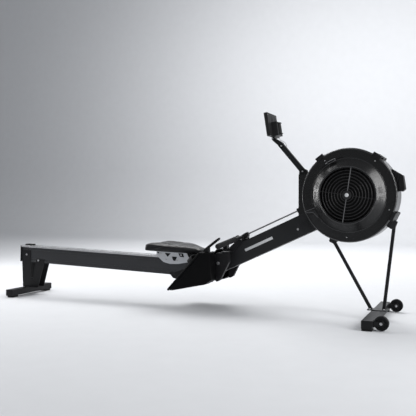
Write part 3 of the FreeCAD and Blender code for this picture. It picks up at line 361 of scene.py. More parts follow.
def socket_screw(radius: float, facing: float) -> Shape:
    """A domed screw head with a hexagonal socket, standing on the plane y = 0.

    Args:
        radius: Radius of the head.
        facing: The side the head stands out to, -1 or 1 along y.

    Returns:
        The screw head.
    """
    made = Shape.drum(radius, radius * 0.5, radius * 0.22, 36, radius * 0.72)
    top = max(made.bm.faces, key=lambda face: face.calc_center_median().y)
    bmesh.ops.inset_region(made.bm, faces=[top], thickness=radius * 0.2)
    bmesh.ops.translate(made.bm, verts=list(top.verts), vec=(0, -radius * 0.3, 0))
    made.at(Matrix.Translation((0, radius * 0.25, 0)))
    return made.at(Matrix.Diagonal((1, facing, 1, 1))).healed()


# ---------------------------------------------------------------- shader sums

class Signal:
    """A shader socket that takes part in sums: an expression on values adds its Math nodes."""

    def __init__(self, graph: "Graph", socket: bpy.types.NodeSocket) -> None:
        """Wraps a socket.

        Args:
            graph: The graph it belongs to.
            socket: The output socket.
        """
        self.graph = graph
        self.socket = socket

    def __add__(self, other: "Signal | float") -> "Signal":
        """The sum of two values."""
        return self.graph.maths("ADD", self, other)

    def __radd__(self, other: float) -> "Signal":
        """The sum of two values."""
        return self.graph.maths("ADD", other, self)

    def __sub__(self, other: "Signal | float") -> "Signal":
        """One value less another."""
        return self.graph.maths("SUBTRACT", self, other)

    def __rsub__(self, other: float) -> "Signal":
        """A number less this value."""
        return self.graph.maths("SUBTRACT", other, self)

    def __mul__(self, other: "Signal | float") -> "Signal":
        """The product of two values."""
        return self.graph.maths("MULTIPLY", self, other)

    def __rmul__(self, other: float) -> "Signal":
        """The product of two values."""
        return self.graph.maths("MULTIPLY", other, self)

    def within(self) -> "Signal":
        """This value kept between 0 and 1."""
        return self.graph.maths("MINIMUM", self.graph.maths("MAXIMUM", self, 0.0), 1.0)

    def step(self, low: float, high: float) -> "Signal":
        """A smooth step of this value.

        Args:
            low: Where it is 0.
            high: Where it is 1.

        Returns:
            The step.
        """
        settings = {"interpolation_type": "SMOOTHSTEP"}
        values = {"Value": self, "From Min": low, "From Max": high}
        return self.graph.add("ShaderNodeMapRange", settings, values)


class Graph:
    """The nodes of one material, round a Principled shader."""

    def __init__(self, name: str) -> None:
        """Makes the material.

        Args:
            name: Its name.
        """
        self.material = bpy.data.materials.new(name)
        self.material.use_nodes = True
        self.tree = self.material.node_tree
        self.tree.nodes.clear()
        self.shader = self.tree.nodes.new("ShaderNodeBsdfPrincipled")
        output = self.tree.nodes.new("ShaderNodeOutputMaterial")
        self.tree.links.new(self.shader.outputs[0], output.inputs["Surface"])

    def feed(self, socket: bpy.types.NodeSocket, value: object) -> None:
        """Links a signal to a socket, or sets a number or a colour on it.

        Args:
            socket: The input socket.
            value: The signal, number or colour.
        """
        if isinstance(value, Signal):
            self.tree.links.new(value.socket, socket)
        elif socket.type == "RGBA" and len(value) == 3:
            socket.default_value = (*value, 1.0)
        else:
            socket.default_value = value

    def add(self, kind: str, settings: dict[str, object] | None = None,
            values: dict[str | int, object] | None = None, output: str | int = 0) -> Signal:
        """Adds a node.

        Args:
            kind: The node's type.
            settings: Its settings.
            values: Numbers, colours or signals for its sockets.
            output: The output socket that is wanted.

        Returns:
            That output as a signal.
        """
        made = self.tree.nodes.new(kind)
        for name, setting in (settings or {}).items():
            setattr(made, name, setting)
        for name, value in (values or {}).items():
            self.feed(made.inputs[name], value)
        return Signal(self, made.outputs[output])

    def maths(self, operation: str, *values: Signal | float) -> Signal:
        """A sum on values."""
        return self.add("ShaderNodeMath", {"operation": operation}, dict(enumerate(values)))

    def place(self, stretch: Sequence[float] = (1, 1, 1), turn: float = 0.0) -> Signal:
        """Object coordinates, turned about y and then stretched.

        Args:
            stretch: Factors along the three axes.
            turn: Radians about y.

        Returns:
            The coordinates.
        """
        flat = self.add("ShaderNodeTexCoord", output="Object")
        if turn:
            flat = self.add("ShaderNodeMapping", None, {"Vector": flat, "Rotation": (0.0, turn, 0.0)})
        return self.add("ShaderNodeMapping", None, {"Vector": flat, "Scale": tuple(stretch)})

    def noise(self, scale: float, detail: float = 3.0, at: Signal | None = None) -> Signal:
        """Soft noise between 0 and 1.

        Args:
            scale: Features in a metre.
            detail: Finer layers.
            at: The coordinates it reads.

        Returns:
            The noise.
        """
        values = {"Vector": at or self.place(), "Scale": scale, "Detail": detail, "Roughness": 0.55}
        return self.add("ShaderNodeTexNoise", None, values, "Fac")

    def tint(self, factor: Signal | float, first: object, second: object) -> Signal:
        """A mix of two colours."""
        return self.add("ShaderNodeMix", {"data_type": "RGBA"}, {0: factor, 6: first, 7: second}, 2)

    def relief(self, height: Signal, depth: float) -> None:
        """Gives the surface a relief.

        Args:
            height: Heights between 0 and 1.
            depth: The relief's depth in millimetres.
        """
        values = {"Height": height, "Distance": depth * MM, "Strength": 1.0}
        self.set(Normal=self.add("ShaderNodeBump", None, values))

    def edges(self, reach: float) -> Signal:
        """A mask that is 1 along sharp and rounded edges and 0 on flat faces.

        Args:
            reach: Its width in millimetres.

        Returns:
            The mask.
        """
        eased = self.add("ShaderNodeBevel", {"samples": 3}, {"Radius": reach * MM})
        own = self.add("ShaderNodeNewGeometry", output="Normal")
        dot = {"operation": "DOT_PRODUCT"}
        agreement = self.add("ShaderNodeVectorMath", dot, {0: eased, 1: own}, "Value")
        return (1.0 - agreement).step(0.004, 0.10)

    def upward(self) -> Signal:
        """A mask of the faces that look up."""
        own = self.add("ShaderNodeNewGeometry", output="Normal")
        return self.add("ShaderNodeSeparateXYZ", None, {0: own}, "Z").step(0.55, 1.0)

    def set(self, **sockets: object) -> None:
        """Feeds sockets of the shader; an underscore stands for a space."""
        for name, value in sockets.items():
            self.feed(self.shader.inputs[name.replace("_", " ")], value)


# ---------------------------------------------------------------- finishes

@dataclass(frozen=True)
class Finish:
    """A surface: its colour, gloss and what wears or marks it."""

    name: str
    colour: Colour
    roughness: float
    metal: float = 0.0
    mottle: float = 0.10
    edge_gain: float = 0.0
    dust: float = 0.0
    gloss: float = field(default=0.22, kw_only=True)

    def dressed(self) -> bpy.types.Material:
        """The material, made once and then shared.

        Returns:
            The material.
        """
        title = "finish_" + self.name
        known = bpy.data.materials.get(title)
        if known:
            return known
        graph = Graph(title)
        graph.set(Metallic=self.metal, Specular_IOR_Level=self.gloss)
        self.paint(graph)
        return graph.material

    def shade(self, graph: Graph, lightness: Signal | float) -> Signal:
        """The colour under large soft mottling, edge wear and dust, at a lightness.

        Args:
            graph: The material's graph.
            lightness: What the finer pattern makes of it, about 1.

        Returns:
            The colour.
        """
        cloud = graph.noise(9.0, 4.0)
        level = (1.0 + (cloud - 0.5) * (2 * self.mottle)) * lightness
        colour = graph.add("ShaderNodeVectorMath", {"operation": "SCALE"}, {0: self.colour, "Scale": level})
        if self.edge_gain:
            worn = tuple(min(1.0, part * 2.2 + 0.05) for part in self.colour)
            scuffs = graph.noise(160.0, 5.0).step(0.42, 0.68)
            colour = graph.tint(graph.edges(1.6) * scuffs * self.edge_gain, colour, worn)
        if self.dust:
            film = graph.noise(40.0, 5.0).step(0.35, 0.8)
            colour = graph.tint(graph.upward() * film * self.dust, colour, (0.32, 0.31, 0.30))
        return colour

    def paint(self, graph: Graph) -> None:
        """Sets the shader's sockets."""
        raise NotImplementedError


@dataclass(frozen=True)
class Moulded(Finish):
    """Spark-eroded moulding grain on plastic or rubber."""

    grain: float = 0.9
    depth: float = 0.05

    def paint(self, graph: Graph) -> None:
        """Fine pits, soft flow marks and finger smears.

        Args:
            graph: The material's graph.
        """
        cells = graph.add("ShaderNodeTexVoronoi", None, {"Vector": graph.place(), "Scale": 1000 / self.grain})
        fine = graph.noise(1700 / self.grain, 2.0)
        height = cells * 0.6 + fine * 0.4
        smear = graph.noise(22.0, 6.0).step(0.45, 0.75)
        graph.set(Base_Color=self.shade(graph, 0.93 + fine * 0.14),
                  Roughness=(self.roughness + (fine - 0.5) * 0.10 - smear * 0.012).within())
        graph.relief(height, self.depth)


@dataclass(frozen=True)
class PowderCoat(Finish):
    """Powder-coated steel or aluminium with a slight orange peel."""

    peel: float = 2.6

    def paint(self, graph: Graph) -> None:
        """Peel, metallic sparkle and fine rubbed scratches.

        Args:
            graph: The material's graph.
        """
        peel = graph.noise(1000 / self.peel, 2.0)
        flake = graph.noise(2600.0, 1.0)
        scratches = graph.noise(35.0, 6.0, graph.place((1.0, 14.0, 22.0), 0.4)).step(0.62, 0.70)
        graph.set(Base_Color=self.shade(graph, 0.90 + flake * 0.20),
                  Roughness=(self.roughness + (peel - 0.5) * 0.12 + scratches * 0.10).within())
        graph.relief(peel * 0.8 + flake * 0.2, 0.06)


@dataclass(frozen=True)
class Drawn(Finish):
    """Metal with lines along one direction, from brushing, rolling or extruding."""

    pitch: float = 0.35
    across: tuple[float, float, float] = (0.02, 1.0, 1.0)
    depth: float = 0.012

    def paint(self, graph: Graph) -> None:
        """Fine lines, broader die marks and rubbed patches.

        Args:
            graph: The material's graph.
        """
        fine = graph.noise(1000 / self.pitch, 3.0, graph.place(self.across))
        broad = graph.noise(120 / self.pitch, 3.0, graph.place(self.across))
        rubbed = graph.noise(14.0, 5.0)
        graph.set(Base_Color=self.shade(graph, 0.82 + fine * 0.22 + broad * 0.14),
                  Roughness=(self.roughness + (fine - 0.5) * 0.22 + (rubbed - 0.5) * 0.12).within())
        graph.relief(fine * 0.6 + broad * 0.4, self.depth)


@dataclass(frozen=True)
class Foam(Finish):
    """Closed-cell foam rubber with open pores at its skin."""

    pore: float = 0.8

    def paint(self, graph: Graph) -> None:
        """Pores, and a sheen where hands have polished it.

        Args:
            graph: The material's graph.
        """
        pores = graph.add("ShaderNodeTexVoronoi", None, {"Vector": graph.place(), "Scale": 1000 / self.pore})
        polish = graph.noise(28.0, 4.0).step(0.4, 0.7)
        graph.set(Base_Color=self.shade(graph, 0.75 + pores * 0.5),
                  Roughness=(self.roughness - polish * 0.12 + pores * 0.1).within())
        graph.relief(pores.step(0.05, 0.5), 0.16)


@dataclass(frozen=True)
class Webbing(Finish):
    """Woven strap, its ribs across the strap and its threads along it."""

    rib: float = 1.5

    def paint(self, graph: Graph) -> None:
        """Warp ribs with a finer weft, and worn fibre tips.

        Args:
            graph: The material's graph.
        """
        pitch = math.tau / (self.rib * MM)
        flat = graph.place()
        split = [graph.add("ShaderNodeSeparateXYZ", None, {0: flat}, axis) for axis in "XY"]
        ribs = graph.maths("SINE", split[0] * pitch)
        weft = graph.maths("SINE", split[1] * (pitch * 0.8))
        height = (ribs * weft) * 0.35 + ribs * 0.15 + 0.5
        fuzz = graph.noise(900.0, 3.0)
        graph.set(Base_Color=self.shade(graph, 0.6 + height * 0.6 + fuzz * 0.2),
                  Roughness=(self.roughness + (fuzz - 0.5) * 0.1).within())
        graph.relief(height, 0.35)


@dataclass(frozen=True)
class SeatSkin(Finish):
    """The glossy skin of a moulded foam seat, with a fine leather grain."""

    def paint(self, graph: Graph) -> None:
        """Grain, rubbed shine where the rower sits, and faint creases.

        Args:
            graph: The material's graph.
        """
        grain = graph.add("ShaderNodeTexVoronoi", {"feature": "DISTANCE_TO_EDGE"},
                          {"Vector": graph.place(), "Scale": 620.0}).step(0.0, 0.16)
        crease = graph.noise(70.0, 6.0, graph.place((0.6, 1.5, 1.0)))
        sat_on = graph.noise(12.0, 3.0).step(0.42, 0.62)
        graph.set(Base_Color=self.shade(graph, 0.88 + grain * 0.16),
                  Roughness=(self.roughness - sat_on * 0.10 + (crease - 0.5) * 0.10).within())
        graph.relief(grain * 0.6 + crease * 0.4, 0.09)


@dataclass(frozen=True)
class Display(Finish):
    """A reflective liquid crystal display behind a clear cover."""

    def paint(self, graph: Graph) -> None:
        """A faint dot grid under a smooth, slightly smeared cover.

        Args:
            graph: The material's graph.
        """
        flat = graph.place()
        split = [graph.add("ShaderNodeSeparateXYZ", None, {0: flat}, axis) for axis in "YZ"]
        grid = graph.maths("SINE", split[0] * 5200.0) * graph.maths("SINE", split[1] * 5200.0)
        smear = graph.noise(30.0, 6.0)
        graph.set(Base_Color=self.shade(graph, 0.97 + grid * 0.05),
                  Roughness=(self.roughness + smear * 0.10).within())


class Paint(Enum):
    """The finishes of the machine, by the material slot they stand for."""

    RAIL = Drawn("rail_aluminium", (0.060, 0.061, 0.064), 0.42, 0.80, 0.05, 0.25, 0.0, 0.5,
                 across=(0.01, 1.0, 1.0))
    TRACK = Drawn("track_steel", (0.60, 0.60, 0.61), 0.28, 1.0, 0.04, 0.0, 0.0, 0.3, across=(0.01, 1.0, 1.0))
    COAT = PowderCoat("grey_paint", (0.018, 0.0185, 0.020), 0.44, 0.0, 0.08, 0.35, 0.05)
    LEG_COAT = PowderCoat("black_paint", (0.009, 0.009, 0.010), 0.40, 0.0, 0.08, 0.35, 0.05)
    SHELL = Moulded("shell_plastic", (0.004, 0.004, 0.0043), 0.27, 0.0, 0.10, 0.25, 0.03, 0.8, 0.03,
                     gloss=0.42)
    # Glossier than the shell and lighter in colour; the lighter colour is a painted highlight along the rims
    # and cone steps.
    LIP = Moulded("lip_plastic", (0.012, 0.012, 0.013), 0.20, 0.0, 0.06, 0.0, 0.0, 0.8, 0.01, gloss=0.9)
    DARK = Moulded("dark_plastic", (0.008, 0.008, 0.009), 0.46, 0.0, 0.10, 0.30, 0.04)
    GRILLE = Moulded("grille_plastic", (0.013, 0.013, 0.014), 0.36, 0.0, 0.08, 0.2, 0.0, 0.7, 0.02,
                      gloss=0.40)
    # Pale plastic for the stitching and the damper grip, also a painted highlight on the grille's long rib
    # and along the chain entry's edges.
    RIB = Moulded("rib_plastic", (0.16, 0.16, 0.165), 0.40, 0.0, 0.08, 0.0, 0.0, 0.7, 0.02)
    CASE = Moulded("monitor_plastic", (0.016, 0.016, 0.017), 0.50, 0.0, 0.08, 0.3, 0.03, 0.7, 0.05)
    BOARD = Moulded("board_plastic", (0.003, 0.003, 0.0033), 0.52, 0.0, 0.10, 0.4, 0.06, 1.1, 0.07,
                     gloss=0.08)
    WHEEL = Moulded("wheel_plastic", (0.007, 0.007, 0.008), 0.50, 0.0, 0.10, 0.2, 0.0)
    ROLLER = Moulded("roller_plastic", (0.62, 0.62, 0.60), 0.30, 0.0, 0.06, 0.0, 0.0, 1.2, 0.02)
    RUBBER = Moulded("black_rubber", (0.010, 0.010, 0.010), 0.72, 0.0, 0.12, 0.1, 0.03, 0.6, 0.08)
    KEY = Moulded("button_rubber", (0.30, 0.30, 0.31), 0.62, 0.0, 0.06, 0.1, 0.0, 0.5, 0.04)
    LEAD = Moulded("lead_rubber", (0.40, 0.40, 0.41), 0.45, 0.0, 0.08, 0.0, 0.0, 0.5, 0.03)
    FOAM = Foam("grip_foam", (0.011, 0.011, 0.012), 0.74, 0.0, 0.10)
    STRAP = Webbing("strap_webbing", (0.010, 0.010, 0.011), 0.70, 0.0, 0.08)
    SKIN = SeatSkin("seat_skin", (0.013, 0.013, 0.014), 0.38, 0.0, 0.08, 0.15, 0.05, gloss=0.24)
    CHAIN = Drawn("chain_steel", (0.22, 0.22, 0.22), 0.46, 1.0, 0.10, 0.0, 0.0, 0.5, across=(1.0, 1.0, 1.0))
    BOLT = Drawn("bolt_steel", (0.52, 0.52, 0.53), 0.32, 1.0, 0.08, 0.0, 0.0, 0.4, across=(1.0, 0.2, 1.0))
    FAN = PowderCoat("fan_steel", (0.004, 0.004, 0.004), 0.60, 0.0, 0.08)
    BAR = PowderCoat("bar_steel", (0.018, 0.018, 0.019), 0.34, 0.2, 0.06, 0.2)
    CARRIAGE = Drawn("carriage_steel", (0.55, 0.56, 0.58), 0.38, 0.9, 0.05, 0.0, 0.0, 0.4,
                     across=(0.05, 1.0, 1.0))
    SCREEN = Display("screen_glass", (0.19, 0.22, 0.20), 0.10, 0.0, 0.04, gloss=0.5)
    INK = Moulded("display_ink", (0.025, 0.028, 0.026), 0.30, 0.0, 0.04, 0.0, 0.0, 0.5, 0.01)
    # Pale print, also used as a painted highlight along the damper's slot.
    MARK = Moulded("pale_print", (0.62, 0.63, 0.64), 0.45, 0.0, 0.05, 0.0, 0.0, 0.5, 0.01, gloss=0.3)


# ---------------------------------------------------------------- workshop

@dataclass
class Workshop:
    """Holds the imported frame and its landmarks, and hands each finished piece to it."""

    frame: dict
    chain_rise: float = math.radians(24.6)
    handle_tilt: float = math.radians(34)
    bodies: dict[str, str] = field(init=False)
    slots: dict[str, str] = field(init=False)

    def __post_init__(self) -> None:
        """Reads which body and which material slot each node has."""
        record = self.frame["record"]
        self.bodies = {n: body for body, nodes in record["behaviour"]["bodies"].items() for n in nodes}
        self.slots = {part["node"]: part["material_slot"] for part in record["subparts"]}

    def joint(self, name: str) -> dict:
        """The record's joint of that name."""
        return next(joint for joint in self.frame["joints"] if joint["name"] == name)

    def slope(self, name: str) -> float:
        """Angle of a joint's axis above the forward direction, in radians."""
        axis = self.joint(name)["axis"]
        return math.atan2(axis[2], axis[0])

    @property
    def rail(self) -> Matrix:
        """Top of the rail's body at its tail, x along the rail.

        Returns:
            The frame.
        """
        pitch = self.slope("seat_slide")
        low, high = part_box("rail")
        length, height = high.x - low.x, high.z - low.z
        turn = abs(pitch)
        depth = (height * math.cos(turn) - length * math.sin(turn)) / math.cos(2 * turn)
        return frame_at((low.x + depth * math.sin(turn), 0, high.z), pitch)

    @property
    def fan(self) -> Matrix:
        """The flywheel's axis in the middle plane."""
        return frame_at(self.joint("flywheel_spin")["pos_m"])

    @property
    def chain(self) -> Matrix:
        """The flywheel's axis, x along the chain."""
        return frame_at(self.joint("flywheel_spin")["pos_m"], self.chain_rise)

    @property
    def monitor(self) -> Matrix:
        """The monitor's tilt pin, z up along the monitor's face."""
        return frame_at(self.joint("monitor_tilt")["pos_m"], self.slope("button_1_press"))

    @property
    def board(self) -> Matrix:
        """Heel end of the footboards' face, x up along the boards.

        Returns:
            The frame.
        """
        pitch = self.slope("heel_cup_left_slide")
        low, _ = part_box("footboards")
        return frame_at((low.x, 0, low.z + 12 * MM * math.cos(pitch)), pitch)

    @property
    def handle(self) -> Matrix:
        """Middle of the handle bar, x along its tilt."""
        _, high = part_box("handle_bar")
        return frame_at((high.x - 10 * MM, 0, high.z - 10 * MM), self.handle_tilt)

    def present(self, made: bpy.types.Object, body: str, paint: Paint, slot: str,
                replaces: Sequence[str] = ()) -> bpy.types.Object:
        """Paints a piece and puts it on a body.

        Args:
            made: The piece.
            body: The body it rides on.
            paint: Its finish.
            slot: The record's material slot that it stands for; not used.
            replaces: Nodes that it stands for.

        Returns:
            The piece.
        """
        made.data.materials.clear()
        made.data.materials.append(paint.value.dressed())
        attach(made, body)
        if replaces:
            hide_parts(*replaces)
        LOG.info("%s rides on %s", made.name, body)
        return made

    def piece(self, shape: Shape, name: str, body: str, paint: Paint, slot: str,
              replaces: Sequence[str] = ()) -> bpy.types.Object:
        """Turns a shape into a piece of the machine.

        Args:
            shape: The shape, in place.
            name: The piece's name.
            body: The body it rides on.
            paint: Its finish.
            slot: The record's material slot.
            replaces: Nodes that it stands for.

        Returns:
            The piece.
        """
        made = linked(name, shape.mesh(name))
        return self.present(made, body, paint, slot, replaces)

    def copy_of(self, node: str) -> Shape:
        """A node's own form as a shape in metres, its loose triangles merged into flat faces.

        Args:
            node: The node.

        Returns:
            The shape.
        """
        made = Shape()
        made.bm.from_mesh(self.frame["nodes"][node].data)
        bmesh.ops.remove_doubles(made.bm, verts=made.bm.verts, dist=2e-6)
        bmesh.ops.dissolve_limit(made.bm, angle_limit=math.radians(0.6), use_dissolve_boundaries=False,
                                 verts=made.bm.verts, edges=made.bm.edges)
        return made

    def eased(self, node: str, paint: Paint, radius: float, segments: int = 3) -> bpy.types.Object:
        """A node's form with its edges rounded, standing for the node.

        Args:
            node: The node.
            paint: Its finish.
            radius: Radius of the edges in millimetres.
            segments: Facets across each edge.

        Returns:
            The piece.
        """
        made = linked(node + "_skin", self.copy_of(node).mesh(node + "_skin"))
        rounding = made.modifiers.new("eased_edges", "BEVEL")
        rounding.width, rounding.segments = radius * MM, segments
        rounding.limit_method, rounding.angle_limit = "ANGLE", math.radians(32)
        rounding.harden_normals = True
        return self.present(made, self.bodies[node], paint, self.slots[node], [node])


@dataclass
class SubAssembly:
    """A group of pieces that are built together."""

    shop: Workshop

    def build(self) -> None:
        """Builds and dresses the group's pieces."""
        raise NotImplementedError

    def bolts(self, name: str, body: str, places: Sequence[Matrix], radius: float, facing: float,
              maker: Callable[[float, float], Shape] = hex_bolt) -> None:
        """Bolt heads of one kind, as one piece.

        Args:
            name: The piece's name.
            body: The body it rides on.
            places: Where each head stands.
            radius: Their radius in millimetres.
            facing: The side they stand out to.
            maker: Makes one head.
        """
        heads = gathered(maker(radius, facing).at(place) for place in places)
        self.shop.piece(heads, name, body, Paint.BOLT, "bolt_steel")

    def foot_caps(self, name: str, middle: Matrix, half: float) -> None:
        """The two end caps of a cross foot, as one piece.

        Args:
            name: The piece's name.
            middle: The foot's middle.
            half: Half the foot's width in millimetres.
        """
        caps = [Shape.block((52, 7, 40), 2.4, 3).at(inside(middle, 0, side.value * (half + 1.5), 0))
                for side in Side]
        self.shop.piece(gathered(caps), name, "frame", Paint.DARK, "grey_paint")


# ---------------------------------------------------------------- rail

@dataclass
class RailAssembly(SubAssembly):
    """The rail, its track, end cap and stops, and the leg at its tail."""

    length: float = 1294.0
    depth: float = 97.0
    half_width: float = 26.0

    def build(self) -> None:
        """Builds the rail and its supports."""
        shop = self.shop
        for node, paint, radius in (("rail", Paint.RAIL, 2.5), ("rail_track", Paint.TRACK, 2.0),
                                    ("rail_end_cap", Paint.DARK, 2.4), ("rail_stops", Paint.RUBBER, 3.0),
                                    ("rail_saddle", Paint.LEG_COAT, 1.0), ("rear_leg", Paint.LEG_COAT, 1.0),
                                    ("rear_cross_foot", Paint.LEG_COAT, 4.0),
                                    ("foot_pads", Paint.RUBBER, 2.4)):
            shop.eased(node, paint, radius)
        self.extrusion_lines()
        self.cap_screws()
        self.leg_hardware()

    def extrusion_lines(self) -> None:
        """Raised beads that run along both sides of the rail."""
        beads = []
        for side in Side:
            y = side.value * (self.half_width + 0.4)
            for z, height in ((-self.depth + 9, 5.0), (-self.depth + 24, 1.6), (-17.0, 1.6)):
                bead = Shape.block((self.length - 8, 1.6, height), 0.5, 2)
                beads.append(bead.at(inside(self.shop.rail, self.length / 2, y, z)))
        self.shop.piece(gathered(beads), "rail_beads", "frame", Paint.RAIL, "rail_aluminium")

    def cap_screws(self) -> None:
        """Two screws through the end cap, and a raised panel on it."""
        face = inside(self.shop.rail, -6.2, 0, -self.depth / 2, about_z=90)
        places = [inside(face, 0, 0, z) for z in (-30, 30)]
        self.bolts("end_cap_screws", "frame", places, 5.0, 1.0, socket_screw)
        panel = Shape.block((44, 1.6, 66), 0.7, 2).at(inside(face, 0, 0.4, 4))
        self.shop.piece(panel, "end_cap_panel", "frame", Paint.DARK, "dark_plastic")

    def leg_hardware(self) -> None:
        """End caps of the rear cross foot."""
        low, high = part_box("rear_cross_foot")
        middle = frame_at((low + high) / 2)
        self.foot_caps("rear_foot_caps", middle, (high.y - low.y) / 2 / MM)


# ---------------------------------------------------------------- beam and chain

@dataclass
class BeamAssembly(SubAssembly):
    """The sloping beam, the neck on it, and the chain that runs above it."""

    rise: float = math.radians(24.8)
    middle: Place = (-522.0, 0.0, -281.5)
    beam_half: float = 33.0
    link_pitch: float = 12.7
    chain_lift: float = 44.3
    mouth: float = -292.0
    stretches: int = 10

    @property
    def beam(self) -> Matrix:
        """A point of the beam's centre line, x up along the beam."""
        fan = Vector(self.shop.joint("flywheel_spin")["pos_m"])
        return frame_at(fan + Vector(self.middle) * MM, self.rise)

    def build(self) -> None:
        """Builds the beam's pieces."""
        shop = self.shop
        for node, paint, radius in (("main_beam", Paint.COAT, 4.0), ("neck_cover", Paint.SHELL, 4.0),
                                    ("chain_guide", Paint.DARK, 1.6), ("axle_carrier", Paint.COAT, 0.8),
                                    ("arm_bracket", Paint.DARK, 1.4), ("frame_bolts", Paint.BOLT, 1.0)):
            shop.eased(node, paint, radius)
        self.marks()
        self.neck_seams()
        self.chain()

    def marks(self) -> None:
        """A plain pale bar on each side of the beam, and the gusset plates at its head."""
        bars = []
        for side in Side:
            bar = Shape.block((176.0, 0.8, 15), 0.3, 2)
            bars.append(bar.at(inside(self.beam, 26.0, side.value * (self.beam_half + 0.2), 4)))
        self.shop.piece(gathered(bars), "beam_bars", "frame", Paint.MARK, "grey_paint")
        plates = []
        for side in Side:
            plate = Shape.plate([(250, -50), (330, -50), (330, 20), (268, 6)], 2.4, 6.0, 0.8)
            plates.append(plate.at(inside(self.beam, 0, side.value * (self.beam_half + 1.0), 0)))
        self.shop.piece(gathered(plates), "beam_head_plates", "frame", Paint.COAT, "grey_paint")

    def neck_seams(self) -> None:
        """Two ribs down the neck, and the screws of its rear face."""
        low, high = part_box("neck_cover")
        middle = frame_at((low.x, 0, (low.z + high.z) / 2))
        height = (high.z - low.z) / MM
        strips = [Shape.block((2.2, 3.0, height - 60), 0.8, 2).at(inside(middle, 0, y, 14))
                  for y in (-24, 24)]
        self.shop.piece(gathered(strips), "neck_ribs", "frame", Paint.SHELL, "dark_plastic")
        places = [inside(middle, -0.2, 0, z, about_z=90) for z in (70, 98)]
        self.bolts("neck_screws", "frame", places, 4.2, 1.0, socket_screw)

    def chain(self) -> None:
        """A roller chain from the handle's connector to the sprocket.

        It is made in stretches.
        """
        low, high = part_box("chain_run")
        rear = -math.hypot(high.x - low.x, high.z - low.z) / MM + 3.5
        count = int(-rear / self.link_pitch)
        front = rear + 10
        per_stretch = math.ceil(count / self.stretches)
        for k, first in enumerate(range(0, count, per_stretch)):
            last = min(first + per_stretch, count)
            links = gathered([self.link(rear, i) for i in range(first, last)])
            name = f"drive_chain_{k + 1}"
            made = linked(name, links.mesh(name))
            made.data.materials.append(Paint.CHAIN.value.dressed())
            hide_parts("chain_run")
            ends = [(self.mouth - rear - self.link_pitch * i) / (self.mouth - front) for i in (last, first)]
            spots = [self.mouth + (front - self.mouth) * share for share in self.eased_span(*ends)]
            start, end = (inside(self.shop.chain, x, 0, self.chain_lift).to_translation() for x in spots)
            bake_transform(made)
            LOG.info("%s bends between frame and handle", name)

    def link(self, rear: float, i: int) -> Shape:
        """One link: two plates and the pin at its rear.

        Args:
            rear: The chain's rear end along its run.
            i: The link's number from the rear.

        Returns:
            The link, in place.
        """
        x = rear + self.link_pitch * (i + 0.5)
        spread = 2.4 if i % 2 else 3.3
        pin = Shape.drum(2.3, 7.0, 0.0, 8)
        parts = [pin.at(inside(self.shop.chain, x - self.link_pitch / 2, 0, self.chain_lift))]
        for y in (-spread, spread):
            plate = Shape.block((self.link_pitch + 5.5, 0.9, 7.4), 0.0)
            parts.append(plate.at(inside(self.shop.chain, x, y, self.chain_lift)))
        return gathered(parts)

    @staticmethod
    def eased_span(low: float, high: float) -> tuple[float, float]:
        """The eased step from 0 to 1 that has the straight one's value at two places.

        Args:
            low: The first place, as a share of the whole run.
            high: The second place.

        Returns:
            The step's start and end, as shares of the run.
        """
        low, high = (min(max(share, 0.0), 1.0) for share in (low, high))
        if high - low < 1e-6:
            return 0.0, 1.0
        at_low, at_high = (0.5 - math.sin(math.asin(1.0 - 2.0 * share) / 3.0) for share in (low, high))
        width = (high - low) / (at_high - at_low)
        return low - at_low * width, low + (1.0 - at_low) * width


# ---------------------------------------------------------------- flywheel housing

